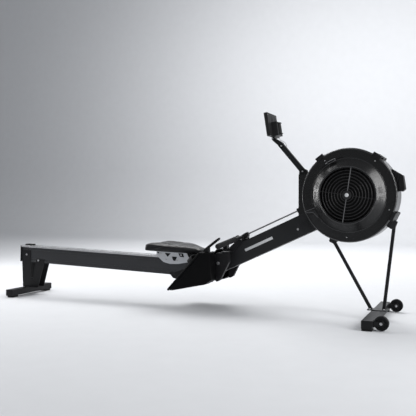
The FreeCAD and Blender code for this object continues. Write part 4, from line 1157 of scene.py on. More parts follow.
@dataclass
class Housing(SubAssembly):
    """The two shells, the grille, the damper, the clips and what turns inside."""

    radius: float = 242.0
    face: float = 85.0
    cone_foot: float = 186.0
    cone_mouth: float = 143.0
    cone_rise: float = 37.0
    damper_radius: float = 193.0
    damper_angle: float = 116.0
    rib_lean: float = 8.5
    ring_pitch: float = 15.4
    ring_count: int = 8
    clip_angles: tuple[float, ...] = (127, 54, -26)

    def out_at(self, angle: float) -> Matrix:
        """The fan's frame turned so that x points out at an angle above the front."""
        return inside(self.shop.fan, 0, 0, 0, about_y=-angle)

    def build(self) -> None:
        """Builds the housing's pieces."""
        shop = self.shop
        for node, paint, radius in (("housing_near_shell", Paint.SHELL, 2.2),
                                    ("housing_far_shell", Paint.SHELL, 2.2),
                                    ("damper_ring", Paint.DARK, 0.9), ("housing_clips", Paint.DARK, 3.0),
                                    ("front_bumper", Paint.DARK, 5.0), ("flywheel", Paint.FAN, 0.5),
                                    ("fan_axle", Paint.BOLT, 0.8), ("fan_bearings", Paint.BOLT, 0.5),
                                    ("sprocket", Paint.CHAIN, 0.4)):
            shop.eased(node, paint, radius, 2 if node == "flywheel" else 3)
        self.beads()
        self.grille()
        self.entry_fairing()
        self.damper()
        self.clip_screws()
        self.far_side()

    def bead(self, radius: float, along: float, width: float, height: float) -> Shape:
        """A half-round bead on a face square to the axis.

        Args:
            radius: Its middle radius.
            along: Where the face lies on the axis.
            width: Its width along the radius.
            height: How far it stands out; its sign gives the side.

        Returns:
            The bead, in place.
        """
        steps, half = 6, width / 2
        angles = [math.pi * i / steps for i in range(steps + 1)]
        arc = [(radius - half * math.cos(a), along + height * math.sin(a)) for a in angles]
        root = along - math.copysign(0.6, height)
        outline = [*arc, (radius + half, root), (radius - half, root)]
        return Shape.spun(outline, 160).at(self.shop.fan)

    def beads(self) -> None:
        """The rolled lips of the shells and the steps round the cone, lighter than the shell as a painted
        highlight.
        """
        near = [self.bead(self.radius - 5.5, -self.face, 8.0, -4.0),
                self.bead(self.cone_foot + 3, -self.face, 4.0, -1.4),
                self.bead(self.cone_mouth + 2.6, -self.face - self.cone_rise, 5.0, -2.0)]
        self.shop.piece(gathered(near), "near_shell_lips", "frame", Paint.LIP, "dark_plastic")
        foot, mouth, top = self.cone_foot, self.cone_mouth, -self.face - self.cone_rise
        skin = [(foot + 1.4, -self.face + 0.1), (mouth + 0.2, top - 0.6), (mouth - 0.6, top + 0.1),
                (foot + 0.6, -self.face + 0.8)]
        cone = Shape.spun(skin, 192).at(self.shop.fan)
        self.shop.piece(cone, "cone_skin", "frame", Paint.SHELL, "dark_plastic")
        far = [self.bead(self.radius - 5.5, self.face, 6.0, 3.0), self.bead(190, self.face, 5.0, 1.6),
               self.bead(120, self.face, 4.0, 1.4)]
        self.shop.piece(gathered(far), "far_shell_lips", "frame", Paint.LIP, "dark_plastic")

    def grille(self) -> None:
        """Round concentric wires on two ribs, a plain hub and its cap."""
        shop = self.shop
        depth = self.face + self.cone_rise - 2.5
        plane = inside(shop.fan, 0, -depth, 0)
        wire = 2.1
        turns = [math.tau * k / 10 for k in range(10)]
        rings = []
        for i in range(self.ring_count):
            radius = self.cone_mouth - wire - 1.2 - self.ring_pitch * i
            ring = [(radius + wire * math.cos(a), wire * math.sin(a)) for a in turns]
            rings.append(Shape.spun(ring, 144).at(plane))
        shop.piece(gathered(rings), "grille_rings", "frame", Paint.GRILLE, "grille_plastic", ["fan_grille"])
        reach = 2 * self.cone_mouth - 4
        long_rib = Shape.block((3.4, 3.0, reach), 1.0, 2).at(inside(plane, 0, -1.0, 0, about_y=self.rib_lean))
        cross = Shape.block((reach, 3.0, 3.0), 1.0, 2).at(inside(plane, 0, 1.6, 0, about_y=self.rib_lean))
        # The long rib is pale as a painted highlight; the cross rib keeps the grille's colour.
        shop.piece(long_rib, "grille_long_rib", "frame", Paint.RIB, "grille_plastic")
        shop.piece(cross, "grille_cross_rib", "frame", Paint.GRILLE, "grille_plastic")
        hub = Shape.spun([(0.01, -4.4), (16, -4.4), (22, -3.0), (24, 0.5), (24, 3), (0.01, 3)], 72).at(plane)
        shop.piece(hub, "grille_hub", "frame", Paint.GRILLE, "grille_plastic")
        cap = Shape.spun([(0.01, -6.2), (7.5, -6.0), (9.6, -5.2), (10.2, -4.2), (0.01, -4.2)], 48).at(plane)
        shop.piece(cap, "grille_hub_cap", "frame", Paint.MARK, "grille_plastic")

    def entry_fairing(self) -> None:
        """The raised moulding where the chain goes in, with pale strips along its edges as painted
        highlights.
        """
        face = inside(self.shop.fan, 0, -self.face - 1.2, 0)
        outline = [(-233, -46), (-160, -58), (-150, -80), (-154, -116), (-180, -90), (-222, -92)]
        fairing = Shape.plate(outline, 4.4, 6.0, 1.6).at(face)
        self.shop.piece(fairing, "chain_entry_fairing", "frame", Paint.SHELL, "dark_plastic")
        # Pale strips along the moulding's edges: painted highlights.
        edges = []
        runs = (((-226, -85), (-162, -62)), ((-216, -91), (-180, -90)), ((-179, -91), (-154, -117)))
        for (x0, z0), (x1, z1) in runs:
            length = math.hypot(x1 - x0, z1 - z0)
            highlight_strip = Shape.block((length, 1.8, 2.0), 0.6, 2)
            lean = math.degrees(math.atan2(z1 - z0, x1 - x0))
            edges.append(highlight_strip.at(inside(face, (x0 + x1) / 2, -2.4, (z0 + z1) / 2, about_y=-lean)))
        self.shop.piece(gathered(edges), "chain_entry_edges", "frame", Paint.RIB, "dark_plastic")

    def damper(self) -> None:
        """A pale strip along the damper's slot as a painted highlight, and a grip on its lever."""
        edges = []
        # Short pale blocks along the slot: a painted highlight.
        for i in range(8):
            lip = self.out_at(self.damper_angle - 5 + 2.0 * i)
            edge = Shape.block((2.2, 1.4, 7.4), 0.4, 2)
            edges.append(edge.at(inside(lip, self.damper_radius + 7.5, -self.face - 0.4, 0)))
        self.shop.piece(gathered(edges), "damper_slot_edge", "frame", Paint.MARK, "dark_plastic")
        out = self.out_at(self.damper_angle)
        grip = Shape.block((11, 5, 44), 2.0, 3).at(inside(out, self.damper_radius, -self.face - 10.2, 0))
        top = inside(out, self.damper_radius, -self.face - 13.0, 0)
        ridges = [Shape.block((1.6, 1.6, 34), 0.6, 2).at(inside(top, x, 0, 0)) for x in (-3, 0, 3)]
        self.shop.piece(grip.with_more(*ridges), "damper_grip", "damper", Paint.RIB, "dark_plastic")

    def clip_screws(self) -> None:
        """Hooks and screws of the rim clips, and ribs on the front block."""
        hooks, places = [], []
        for angle in self.clip_angles:
            out = self.out_at(angle)
            for y in (-self.face - 3.0, self.face + 3.0):
                hooks.append(Shape.block((20, 9, 46), 2.6, 3).at(inside(out, self.radius + 1.5, y, 0)))
            cover = Shape.block((9, 2 * self.face - 4, 40), 2.6, 3)
            hooks.append(cover.at(inside(out, self.radius + 6.4, 0, 0)))
            rim = inside(out, self.radius + 8.6, 0, 0)
            places += [inside(rim, 0, y, z, about_z=-90) for y in (-24, 24) for z in (-15, 15)]
        self.shop.piece(gathered(hooks), "clip_hooks", "frame", Paint.DARK, "dark_plastic")
        self.bolts("clip_screws", "frame", places, 3.6, 1.0, socket_screw)
        low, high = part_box("front_bumper")
        middle = frame_at(((low.x + high.x) / 2, 0, (low.z + high.z) / 2))
        half = (high.y - low.y) / 2 / MM
        slots = [Shape.block((6, 3, 52), 1.2, 2).at(inside(middle, 3 + x, side.value * half, 0, about_y=14))
                 for side in Side for x in (-9, 3)]
        self.shop.piece(gathered(slots), "bumper_ribs", "frame", Paint.DARK, "dark_plastic")

    def far_side(self) -> None:
        """Stiffening ribs on the closed shell, and the screws of both shells."""
        spokes = [inside(self.out_at(-30 * i - 15), 155, self.face + 0.6, 0) for i in range(12)]
        ribs = [Shape.block((54, 3.0, 4.0), 1.2, 2).at(spoke) for spoke in spokes]
        self.shop.piece(gathered(ribs), "far_shell_ribs", "frame", Paint.SHELL, "dark_plastic")
        for name, first, radius, y, size, facing in (("far_shell_screws", 0, 214, self.face, 4.6, 1.0),
                                                     ("near_shell_screws", 20, 216, -self.face, 3.4, -1.0)):
            spots = [inside(self.out_at(-72 * i - first), radius, y, 0) for i in range(5)]
            self.bolts(name, "frame", spots, size, facing, socket_screw)


# ---------------------------------------------------------------- front legs

@dataclass
class FrontLegs(SubAssembly):
    """The two struts, the front cross foot and the transport wheels."""

    wheel_radius: float = 35.0
    wheel_width: float = 20.0

    def build(self) -> None:
        """Builds the legs, the cross foot and the wheels."""
        shop = self.shop
        for node, paint, radius in (("front_leg_struts", Paint.LEG_COAT, 2.6),
                                    ("front_cross_foot", Paint.LEG_COAT, 3.0),
                                    ("wheel_axles", Paint.BOLT, 1.0)):
            shop.eased(node, paint, radius)
        low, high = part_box("front_cross_foot")
        low_pad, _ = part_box("foot_pads")
        centre = shop.joint("wheel_left_roll")["pos_m"][0]
        bar = frame_at((centre - 64 * MM, 0, low_pad.z + 30 * MM))
        self.foot_caps("front_foot_caps", bar, (high.y - low.y) / 2 / MM)
        flange = [inside(bar, x, y, 23, about_x=90) for x in (-36, 36) for y in (4, 34)]
        self.bolts("leg_flange_bolts", "frame", flange, 5.6, 1.0)
        for side in Side:
            self.wheel(side)

    def wheel(self, side: Side) -> None:
        """A wheel with a grooved tread and five spokes, and its axle nuts.

        Args:
            side: The side it is on.
        """
        body = f"wheel_{side.word}"
        at = frame_at(self.shop.joint(body + "_roll")["pos_m"])
        rim, half = self.wheel_radius, self.wheel_width / 2
        profile = [(rim - 8, -half + 1), (rim - 2.4, -half), (rim, -half + 3), (rim, -1.6), (rim - 1.2, -0.8),
                   (rim - 1.2, 0.8), (rim, 1.6), (rim, half - 3), (rim - 2.4, half), (rim - 8, half - 1)]
        tread = Shape.spun(profile, 72).at(at)
        self.shop.piece(tread, body + "_tread", body, Paint.WHEEL, "wheel_plastic", [body])
        web = Shape.spun([(5.2, -3), (rim - 7.6, -3), (rim - 7.6, 3), (5.2, 3)], 72)
        boss = [(5.2, -half), (11, -half), (13, -half + 2), (13, half - 2), (11, half), (5.2, half)]
        hub = Shape.spun(boss, 48)
        spokes = [Shape.block((16, self.wheel_width - 7, 5), 1.4, 2).at(
            Matrix.Rotation(math.tau * i / 5, 4, "Y") @ Matrix.Translation((20.0, 0, 0))) for i in range(5)]
        self.shop.piece(web.with_more(hub, *spokes).at(at), body + "_hub", body, Paint.WHEEL, "wheel_plastic")
        ends = [hex_bolt(7.0, face).at(inside(at, 0, face * (half + 8.2), 0)) for face in (-1.0, 1.0)]
        self.shop.piece(gathered(ends), body + "_axle_nuts", "frame", Paint.BOLT, "bolt_steel")


# ---------------------------------------------------------------- monitor and arm

@dataclass
class MonitorAssembly(SubAssembly):
    """The monitor on its arm, with its screen, three buttons, device holder and lead."""

    screen_base: float = 45.0
    screen_height: float = 80.0

    def build(self) -> None:
        """Builds the arm and the monitor."""
        shop = self.shop
        for node, paint, radius in (("monitor_arm", Paint.COAT, 1.2), ("arm_elbow", Paint.DARK, 1.4),
                                    ("monitor_front", Paint.CASE, 1.4), ("monitor_back", Paint.CASE, 1.6),
                                    ("device_holder", Paint.RUBBER, 0.8), ("arm_bolts", Paint.BOLT, 0.8),
                                    *((f"monitor_button_{n}", Paint.KEY, 1.2) for n in (1, 2, 3))):
            shop.eased(node, paint, radius)
        self.lead()
        self.screen()
        self.bezel()
        self.battery_door()

    def screen(self) -> None:
        """The glass and the plain segments of its display."""
        shop = self.shop
        shop.eased("monitor_screen", Paint.SCREEN, 0.4)
        glass = inside(shop.monitor, -9.5, 0, self.screen_base + self.screen_height / 2)
        segments = []
        for row, (z, count, wide, tall) in enumerate(((24, 4, 12, 18), (0, 5, 8, 11), (-19, 6, 7, 8))):
            step = 104 / count
            for i in range(count):
                y = (i - (count - 1) / 2) * step
                segments.append(Shape.block((0.5, wide, 1.6), 0.0).at(inside(glass, 0, y, z)))
                for end in (-1, 1):
                    mark = Shape.block((0.5, 1.6, tall), 0.0)
                    segments.append(mark.at(inside(glass, 0, y + end * wide / 2, z)))
                if (i + row) % 2:
                    bar = Shape.block((0.5, wide, 1.4), 0.0)
                    segments.append(bar.at(inside(glass, 0, y, z + tall / 2)))
        for z in (11.5, -11):
            line = Shape.block((0.5, 116, 0.9), 0.0)
            segments.append(line.at(inside(glass, 0, 0, z)))
        shop.piece(gathered(segments), "display_segments", "monitor", Paint.INK, "screen_glass")

    def lead(self) -> None:
        """The sensor lead between the arm and the monitor's back."""
        name = "monitor_lead_skin"
        made = linked(name, self.shop.copy_of("monitor_lead").mesh(name))
        made.data.materials.append(Paint.LEAD.value.dressed())
        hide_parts("monitor_lead")
        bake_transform(made)
        LOG.info("%s bends between arm and monitor", name)

    def bezel(self) -> None:
        """A raised frame round the glass and collars round the buttons."""
        shop = self.shop
        middle = self.screen_base + self.screen_height / 2
        rails = []
        for z in (middle - 42, middle + 42):
            rails.append(Shape.block((2.4, 136, 3), 1.0, 2).at(inside(shop.monitor, -9.4, 0, z)))
        for y in (-66.5, 66.5):
            rails.append(Shape.block((2.4, 3, 84), 1.0, 2).at(inside(shop.monitor, -9.4, y, middle)))
        for y in (-40, 0, 40):
            collar = Shape.spun([(8.2, -1.4), (11.0, -1.4), (12.0, -0.4), (12.0, 0.6), (8.2, 0.6)], 48)
            rails.append(collar.at(inside(shop.monitor, -9.4, y, 29, about_z=-90)))
        shop.piece(gathered(rails), "monitor_bezel", "monitor", Paint.DARK, "monitor_plastic")

    def battery_door(self) -> None:
        """The lines of the battery door and vents in the monitor's back."""
        shop = self.shop
        door = inside(shop.monitor, 42.1, 0, 47.5)
        lines = [Shape.block((1.0, 74, 1.2), 0.3, 1).at(inside(door, 0, 0, z)) for z in (-33.5, 33.5)]
        lines += [Shape.block((1.0, 1.2, 67), 0.3, 1).at(inside(door, 0, y, 0)) for y in (-37, 37)]
        vents = inside(shop.monitor, 10.3, 0, 98)
        lines += [Shape.block((1.6, 40, 2.2), 0.6, 2).at(inside(vents, 0, 0, 7 * i)) for i in range(4)]
        shop.piece(gathered(lines), "monitor_back_lines", "monitor", Paint.DARK, "monitor_plastic")
        places = [inside(shop.monitor, 10, y, z, about_z=-90) for y in (-70, 70) for z in (20, 126)]
        self.bolts("monitor_back_screws", "monitor", places, 3.2, -1.0, socket_screw)


# ---------------------------------------------------------------- handle

@dataclass
class HandleAssembly(SubAssembly):
    """The swept handle with its foam grips, connector and rest."""

    middle_half: float = 58.0
    reach: float = 189.0
    sweep: float = math.radians(23.04)
    bar_radius: float = 10.0
    grip_radius: float = 15.0
    grip_length: float = 155.0

    def build(self) -> None:
        """Builds the handle."""
        shop = self.shop
        half_path = [self.middle_half + beyond for beyond in (-8, 4, 14, self.reach - 5)]
        path = [self.spot(along) for along in (*(-along for along in reversed(half_path)), *half_path)]
        bar = Shape.swept(path, self.bar_radius, 24).at(shop.handle)
        shop.piece(bar, "handle_tube", "handle", Paint.BAR, "bar_steel", ["handle_bar"])
        grips = gathered(self.grip(side) for side in Side)
        shop.piece(grips, "handle_foam", "handle", Paint.FOAM, "grip_foam", ["handle_grips"])
        shop.eased("handle_connector", Paint.BAR, 1.4)
        shop.eased("handle_rest", Paint.DARK, 1.2)
        self.swivel()

    def spot(self, along: float) -> Place:
        """A point of the bar's centre line.

        Args:
            along: Distance along the bar from the middle, to the left if positive.

        Returns:
            The point in the handle's frame.
        """
        side = math.copysign(1, along)
        beyond = max(abs(along) - self.middle_half, 0.0)
        straight = min(abs(along), self.middle_half)
        return (-beyond * math.sin(self.sweep), side * (straight + beyond * math.cos(self.sweep)), 0.0)

    def grip(self, side: Side) -> Shape:
        """A foam sleeve with a rounded end and a raised collar.

        Args:
            side: The side of the machine.

        Returns:
            The sleeve, in place.
        """
        radius, length = self.grip_radius, self.grip_length
        profile = [(0.01, length), (6, length - 0.6), (radius - 3, length - 2.2), (radius - 0.6, length - 6),
                   (radius, length - 11), (radius, 9), (radius + 0.8, 6), (radius + 0.8, 2), (radius - 2, 0),
                   (self.bar_radius - 0.4, 0)]
        sleeve = Shape.spun(profile, 40)
        sign = side.value
        start = self.spot(sign * (self.middle_half + self.reach + 1.0 - length))
        turn = sign * math.degrees(self.sweep) + (0 if sign > 0 else 180)
        return sleeve.at(inside(self.shop.handle, *start, about_z=turn))

    def swivel(self) -> None:
        """The swivel's collar between the handle and the chain."""
        low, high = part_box("handle_connector")
        middle = frame_at((low + high) / 2, self.shop.chain_rise)
        collar = Shape.spun([(7, -8), (9.6, -7), (9.6, 7), (7, 8)], 32)
        nut = collar.at(inside(middle, 4, 0, 0, about_z=90))
        self.shop.piece(nut, "handle_swivel", "handle", Paint.BOLT, "bar_steel")


# ---------------------------------------------------------------- feet

@dataclass
class FootAssembly(SubAssembly):
    """The two footboards with their cheeks, heel cups, straps and buckles."""

    inner: float = 64.0
    outer: float = 184.0
    tail: Place = (0.206, 0.140, 0.3695)
    tail_pitch: float = math.radians(37.4)

    def middle(self, side: Side) -> float:
        """Middle of a footboard across the machine."""
        return side.value * (self.inner + self.outer) / 2

    def build(self) -> None:
        """Builds the foot assembly."""
        shop = self.shop
        for node, paint, radius in (("footboards", Paint.BOARD, 5.0), ("foot_cheeks", Paint.BOARD, 3.0),
                                    ("foot_side_plates", Paint.DARK, 2.0), ("heel_cup_left", Paint.DARK, 2.2),
                                    ("heel_cup_right", Paint.DARK, 2.2), ("strap_buckles", Paint.DARK, 1.4)):
            shop.eased(node, paint, radius)
        for side in Side:
            self.treads(side)
            self.cup_details(side)
        self.straps()
        self.tails()

    def treads(self, side: Side) -> None:
        """Raised ribs across a footboard and two rows of pale holes on it.

        Args:
            side: The side it is on.
        """
        middle = self.middle(side)
        ribs = [Shape.block((4.5, 92, 2.4), 1.0, 2).at(inside(self.shop.board, x, middle, 0.5))
                for x in (14, 250, 262, 274, 286)]
        self.shop.piece(gathered(ribs), f"board_treads_{side.word}", "frame", Paint.BOARD, "board_plastic")
        row = [Shape.drum(2.0, 1.2, 0.0, 16).at(inside(self.shop.board, x, middle + y, 0.3, about_x=90))
               for x in range(32, 88, 14) for y in (-53, 53)]
        self.shop.piece(gathered(row), f"board_holes_{side.word}", "frame", Paint.MARK, "board_plastic")

    def cup_details(self, side: Side) -> None:
        """Ribs and a pull tab on a heel cup.

        Args:
            side: The side it is on.
        """
        middle, body = self.middle(side), f"heel_cup_{side.word}"
        ribs = [Shape.block((1.8, 60, 2.2), 0.7, 2).at(inside(self.shop.board, 92.2, middle, z))
                for z in (14, 20, 26)]
        tab = Shape.block((12, 26, 3), 1.3, 3).at(inside(self.shop.board, 86.5, middle, 7))
        name = f"heel_cup_ribs_{side.word}"
        self.shop.piece(gathered([*ribs, tab]), name, body, Paint.DARK, "dark_plastic")

    def straps(self) -> None:
        """A webbing arch over each footboard."""
        bands = gathered(self.arch(self.middle(side)) for side in Side)
        self.shop.piece(bands, "foot_webbing", "frame", Paint.STRAP, "strap_webbing", ["foot_straps"])

    def arch(self, middle: float) -> Shape:
        """One strap over a foot.

        Args:
            middle: Its middle across the machine.

        Returns:
            The strap, in place.
        """
        half, rise, steps = 56.0, 30.0, 28
        outer, inner = [], []
        for i in range(steps + 1):
            angle = math.pi * i / steps
            wide = math.copysign(abs(math.cos(angle)) ** 0.72, math.cos(angle))
            tall = abs(math.sin(angle)) ** 0.72
            outer.append((half * wide, 0.4 + rise * tall))
            inner.append(((half - 3) * wide, (rise - 3) * tall))
        outline = [*outer, *reversed(inner)]
        band = Shape.plate(outline, 34.0, 0.0, 0.9)
        turned = inside(self.shop.board, 222, middle, 0, about_z=90)
        return band.at(turned)

    def tails(self) -> None:
        """The strap's loose ends, held at the toe of each board, with rounded tips and stitching."""
        tails, stitches = [], []
        for side in Side:
            place = frame_at((self.tail[0], side.value * self.tail[1], self.tail[2]), self.tail_pitch)
            tail = Shape.block((92, 44, 7.0), 2.4, 3)
            rim = [(0.01, -3.5), (19.6, -3.5), (22, -1.4), (22, 1.4), (19.6, 3.5), (0.01, 3.5)]
            tip = Shape.spun(rim, 48)
            tails.append(tail.at(place))
            tails.append(tip.at(inside(place, 46, 0, 0, about_x=90)))
            for x in (-20, 10, 38):
                for y in (-15, -5, 5, 15):
                    stitches.append(Shape.block((7, 1.0, 0.7), 0.2, 1).at(inside(place, x, y, 3.6)))
        self.shop.piece(gathered(tails), "strap_tails", "frame", Paint.STRAP, "strap_webbing")
        self.shop.piece(gathered(stitches), "strap_stitches", "frame", Paint.RIB, "strap_webbing")


# ---------------------------------------------------------------- seat

@dataclass
class SeatAssembly(SubAssembly):
    """The shaped pad on its base, the carriage plates and the grooved rollers."""

    rear: float = 984.0
    front: float = 1314.0
    shoulder: float = 1212.0
    half_width: float = 131.0
    nose_half: float = 48.0
    under: float = 44.6
    top_stations: Point = (1052.0, 1186.0)
    top_axle: float = 25.1
    guide_stations: Point = (1086.0, 1158.0)
    guide_axle: float = -9.1
    profile: tuple[Point, ...] = ((984, 78), (994, 84), (1018, 88), (1052, 88.6), (1090, 87.6),
                                  (1150, 84), (1218, 78.5), (1270, 72.5), (1314, 63))

    def build(self) -> None:
        """Builds the seat and its carriage."""
        shop = self.shop
        self.pad()
        for node, paint, radius in (("seat_base", Paint.DARK, 1.4), ("carriage_plates", Paint.CARRIAGE, 1.2),
                                    ("roller_axles", Paint.BOLT, 0.8)):
            shop.eased(node, paint, radius)
        sets = (("top_rollers", self.top_stations, self.top_axle, 14.0),
                ("guide_rollers", self.guide_stations, self.guide_axle, 9.0))
        for set_name, stations, height, radius in sets:
            for place, x in zip(("rear", "front"), stations):
                self.rollers(f"{set_name}_{place}", x, height, radius)
        self.carriage_details()

    def half_at(self, x: float) -> float:
        """Half width of the pad at a distance along it.

        Args:
            x: Distance in the rail's frame.

        Returns:
            The half width.
        """
        if x < self.rear + 22:
            t = (self.rear + 22 - x) / 22
            return self.half_width - 14 * (1 - math.sqrt(max(0.0, 1 - t * t)))
        if x <= self.shoulder - 46:
            return self.half_width
        t = min(1.0, (x - self.shoulder + 46) / (self.front - self.shoulder + 46))
        ease = t * t * (3 - 2 * t)
        return self.half_width + (self.nose_half - self.half_width) * ease

    def top_at(self, x: float, y: float) -> float:
        """Height of the pad's top, with two hollows, a raised rim and a notch at the rear.

        Args:
            x: Distance in the rail's frame.
            y: Distance from the middle plane.

        Returns:
            The height.
        """
        spots = self.profile
        for (x0, z0), (x1, z1) in zip(spots, spots[1:]):
            if x <= x1:
                t = max(0.0, (x - x0) / (x1 - x0))
                height = z0 + (z1 - z0) * (t * t * (3 - 2 * t) * 0.35 + t * 0.65)
                break
        else:
            height = spots[-1][1]
        for side in Side:
            away = ((x - 1092) / 46) ** 2 + ((y - side.value * 50) / 38) ** 2
            height -= 13.0 * math.exp(-away)
        height -= 12.0 * math.exp(-((x - 992) / 34) ** 2 - (y / 22) ** 2)
        height -= 4.0 * math.exp(-((x - 1190) / 60) ** 2 - (y / 20) ** 2)
        edge = max(0.0, abs(y) / self.half_at(x) - 0.82) / 0.18
        return height - 7.0 * edge * edge

    def pad(self) -> None:
        """The pad: a flat underside, rolled sides and a shaped top, settled by a short cloth run."""
        shop = self.shop
        made = Shape()
        rows, columns = 36, 28
        shares = [math.sin(math.pi / 2 * (2 * j / columns - 1)) for j in range(columns + 1)]
        grid = []
        for i in range(rows + 1):
            x = self.rear + (self.front - self.rear) * i / rows
            grid.append([(x, self.half_at(x) * share) for share in shares])
        bm = made.bm
        top = [[bm.verts.new((x, y, self.top_at(x, y))) for x, y in row] for row in grid]
        low = [[bm.verts.new((x, y * 0.985, self.under)) for x, y in row] for row in grid]
        for i in range(rows):
            for j in range(columns):
                bm.faces.new((top[i][j], top[i + 1][j], top[i + 1][j + 1], top[i][j + 1]))
                bm.faces.new((low[i][j], low[i][j + 1], low[i + 1][j + 1], low[i + 1][j]))
        rim = [(i, 0) for i in range(rows)] + [(rows, j) for j in range(columns)]
        rim += [(i, columns) for i in range(rows, 0, -1)] + [(0, j) for j in range(columns, 0, -1)]
        for (i, j), (k, m) in zip(rim, rim[1:] + rim[:1]):
            bm.faces.new((top[i][j], low[i][j], low[k][m], top[k][m]))
        name = "seat_cushion"
        cushion = linked(name, made.at(shop.rail).healed().mesh(name))
        self.settle(cushion)
        shop.present(cushion, "seat", Paint.SKIN, "seat_skin", ["seat_pad"])

    def settle(self, cushion: bpy.types.Object) -> None:
        """Fills the skin with a short pressured cloth run, its movement capped, and smooths it.

        Args:
            cushion: The pad, in place.
        """
        bpy.context.view_layer.objects.active = cushion
        remesh = cushion.modifiers.new("even_mesh", "REMESH")
        remesh.mode, remesh.voxel_size = "VOXEL", 0.005
        bpy.ops.object.modifier_apply(modifier=remesh.name)
        before = [v.co.copy() for v in cushion.data.vertices]
        to_rail = self.shop.rail.inverted()
        held = cushion.vertex_groups.new(name="underside")
        rest = [i for i, co in enumerate(before) if (to_rail @ co).z < self.under + 4.5]
        held.add(rest, 1.0, "REPLACE")
        cloth = cushion.modifiers.new("fill", "CLOTH")
        settings = cloth.settings
        settings.use_pressure, settings.uniform_pressure_force = True, 4.0
        settings.quality, settings.mass = 6, 0.3
        settings.tension_stiffness = settings.compression_stiffness = 40.0
        settings.bending_stiffness = 6.0
        settings.vertex_group_mass = held.name
        settings.effector_weights.gravity = 0.0
        cloth.point_cache.frame_start, cloth.point_cache.frame_end = 1, 20
        scene = bpy.context.scene
        scene.frame_start, scene.frame_end = 1, 20
        for number in range(1, 21):
            scene.frame_set(number)
        bpy.ops.object.modifier_apply(modifier=cloth.name)
        scene.frame_set(1)
        cap = 3.0 * MM
        for vertex, start in zip(cushion.data.vertices, before):
            shift = vertex.co - start
            if shift.length > cap:
                vertex.co = start + shift.normalized() * cap
        smooth = cushion.modifiers.new("finer", "SUBSURF")
        smooth.levels = smooth.render_levels = 1
        bpy.ops.object.modifier_apply(modifier=smooth.name)
        cushion.data.shade_smooth()

    def rollers(self, body: str, x: float, z: float, radius: float) -> None:
        """A pair of grooved rollers on one axle.

        Args:
            body: The body they are.
            x: Distance of their axle along the rail's frame.
            z: Height of their axle in the rail's frame.
            radius: Their radius.
        """
        node_low, node_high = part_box(body)
        across = (node_high.y - node_low.y) / 2 / MM
        wide, bore = (16.0, 4.1) if radius > 10 else (7.0, 3.1)
        half = wide / 2
        profile = [(bore, -half + 0.6), (radius - 1.6, -half), (radius, -half + 1.4), (radius, -0.9),
                   (radius - 1.2, 0.0), (radius, 0.9), (radius, half - 1.4), (radius - 1.6, half),
                   (bore, half - 0.6)]
        pair = []
        for side in Side:
            axle = inside(self.shop.rail, x, side.value * (across - half), z)
            pair.append(Shape.spun(profile, 48).at(axle))
        self.shop.piece(gathered(pair), body + "_pair", body, Paint.ROLLER, "roller_plastic", [body])

    def carriage_details(self) -> None:
        """Nuts on the roller axles, dark plates on the carriage plates as painted shade in their windows, and
        a block at their front.
        """
        axles = [(x, self.top_axle) for x in self.top_stations]
        axles += [(x, self.guide_axle) for x in self.guide_stations]
        for side in Side:
            spots = [inside(self.shop.rail, x, side.value * 45.2, z) for x, z in axles]
            self.bolts(f"carriage_nuts_{side.word}", "seat", spots, 5.4, float(side.value))
        blocks = []
        # Dark plates shaped as the carriage plates' windows: painted shade for what shows through the
        # openings.
        shade_patches = (((1078, 30), (1118, 30), (1098, 8)), ((1126, 12), (1160, 12), (1148, -14), (1134, -10)),
                   ((1166, 34), (1198, 34), (1206, 12), (1178, 14)), ((1022, 34), (1040, 34), (1040, 22)))
        for side in Side:
            for outline in shade_patches:
                shade_patch = Shape.plate(list(outline), 1.2, 3.0, 0.3)
                blocks.append(shade_patch.at(inside(self.shop.rail, 0, side.value * 45.4, 0)))
            block = Shape.block((44, 10, 30), 3.0, 3)
            blocks.append(block.at(inside(self.shop.rail, 1238, side.value * 38.0, 24)))
        self.shop.piece(gathered(blocks), "carriage_blocks", "seat", Paint.DARK, "carriage_steel")


# ---------------------------------------------------------------- studio

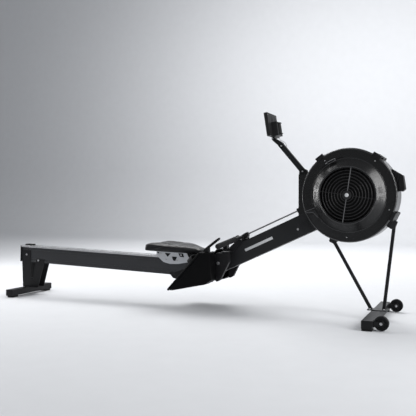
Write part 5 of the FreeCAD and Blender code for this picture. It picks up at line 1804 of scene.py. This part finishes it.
@dataclass
class Studio:
    """A pale floor and backdrop, soft lights and the camera."""

    target: Place = (0.05, 0.0, 0.40)

    def build(self) -> None:
        """Sets up the floor, the lights and the camera."""
        self.floor()
        self.lamp("key_right", (3.4, -0.5, 2.4), (1.4, 1.4), 52)
        self.lamp("key_left", (-3.4, -0.3, 2.5), (1.4, 1.2), 34)
        self.lamp("strip_right", (3.5, -0.95, 0.95), (0.30, 1.7), 34)
        self.lamp("strip_left", (-3.4, 0.05, 1.05), (0.26, 1.5), 42)
        self.lamp("top", (-0.9, 1.5, 3.3), (3.2, 1.8), 120)
        self.lamp("wall_wash", (0.0, 3.0, 3.6), (6.0, 1.2), 215, (0.0, 6.6, 0.9))
        world = bpy.data.worlds.new("studio_air")
        world.use_nodes = True
        background = world.node_tree.nodes["Background"]
        background.inputs["Color"].default_value = (0.80, 0.82, 0.85, 1)
        background.inputs["Strength"].default_value = 0.40
        bpy.context.scene.world = world
        bpy.context.scene.view_settings.view_transform = "Standard"
        self.camera()

    def floor(self) -> None:
        """A pale floor that turns up into a backdrop."""
        made = Shape()
        profile = [(-7.0, 0.0), (5.6, 0.0)]
        turns = (0.26, 0.52, 0.79, 1.05, 1.31, 1.57)
        profile += [(5.6 + 1.2 * math.sin(a), 1.2 - 1.2 * math.cos(a)) for a in turns]
        profile.append((6.8, 9.0))
        rows = [[made.bm.verts.new((x, y, z)) for y, z in profile] for x in (-14.0, 14.0)]
        for i in range(len(profile) - 1):
            made.bm.faces.new((rows[0][i], rows[1][i], rows[1][i + 1], rows[0][i + 1]))
        sweep = linked("studio_floor", made.mesh("studio_floor"))
        paper = Moulded("studio_paper", (0.62, 0.63, 0.65), 0.75, 0.0, 0.03, 0.0, 0.0)
        sweep.data.materials.append(paper.dressed())

    def lamp(self, name: str, at: Place, size: tuple[float, float], power: float,
             target: Place | None = None) -> None:
        """A soft rectangular light that faces the machine.

        Args:
            name: Its name.
            at: Where it hangs.
            size: Its sides in metres.
            power: Its power in watts.
            target: Where it looks, if not at the machine.
        """
        data = bpy.data.lights.new(name, "AREA")
        data.shape, data.size, data.size_y, data.energy = "RECTANGLE", size[0], size[1], power
        made = linked(name, data)
        made.location = at
        made.rotation_euler = (Vector(target or self.target) - Vector(at)).to_track_quat("-Z", "Y").to_euler()

    def camera(self) -> None:
        """The camera, at the front right of the machine and low."""
        data = bpy.data.cameras.new("main_camera")
        data.lens, data.sensor_width, data.clip_end = 53.28, 36.0, 60.0
        data.dof.use_dof = False
        made = linked("main_camera", data)
        made.location = (1.577, -3.244, 0.611)
        made.rotation_euler = (math.radians(89.39), 0.0, math.radians(24.10))
        bpy.context.scene.camera = made


def main() -> None:
    """Builds every sub-assembly of the machine, then the studio."""
    logging.basicConfig(level=logging.INFO, format="%(message)s")
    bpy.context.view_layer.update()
    shop = Workshop(frame)
    for kind in (RailAssembly, BeamAssembly, Housing, FrontLegs, MonitorAssembly, HandleAssembly,
                 FootAssembly, SeatAssembly):
        LOG.info("building %s", kind.__name__)
        kind(shop).build()
    Studio().build()


if __name__ == "__main__":
    main()
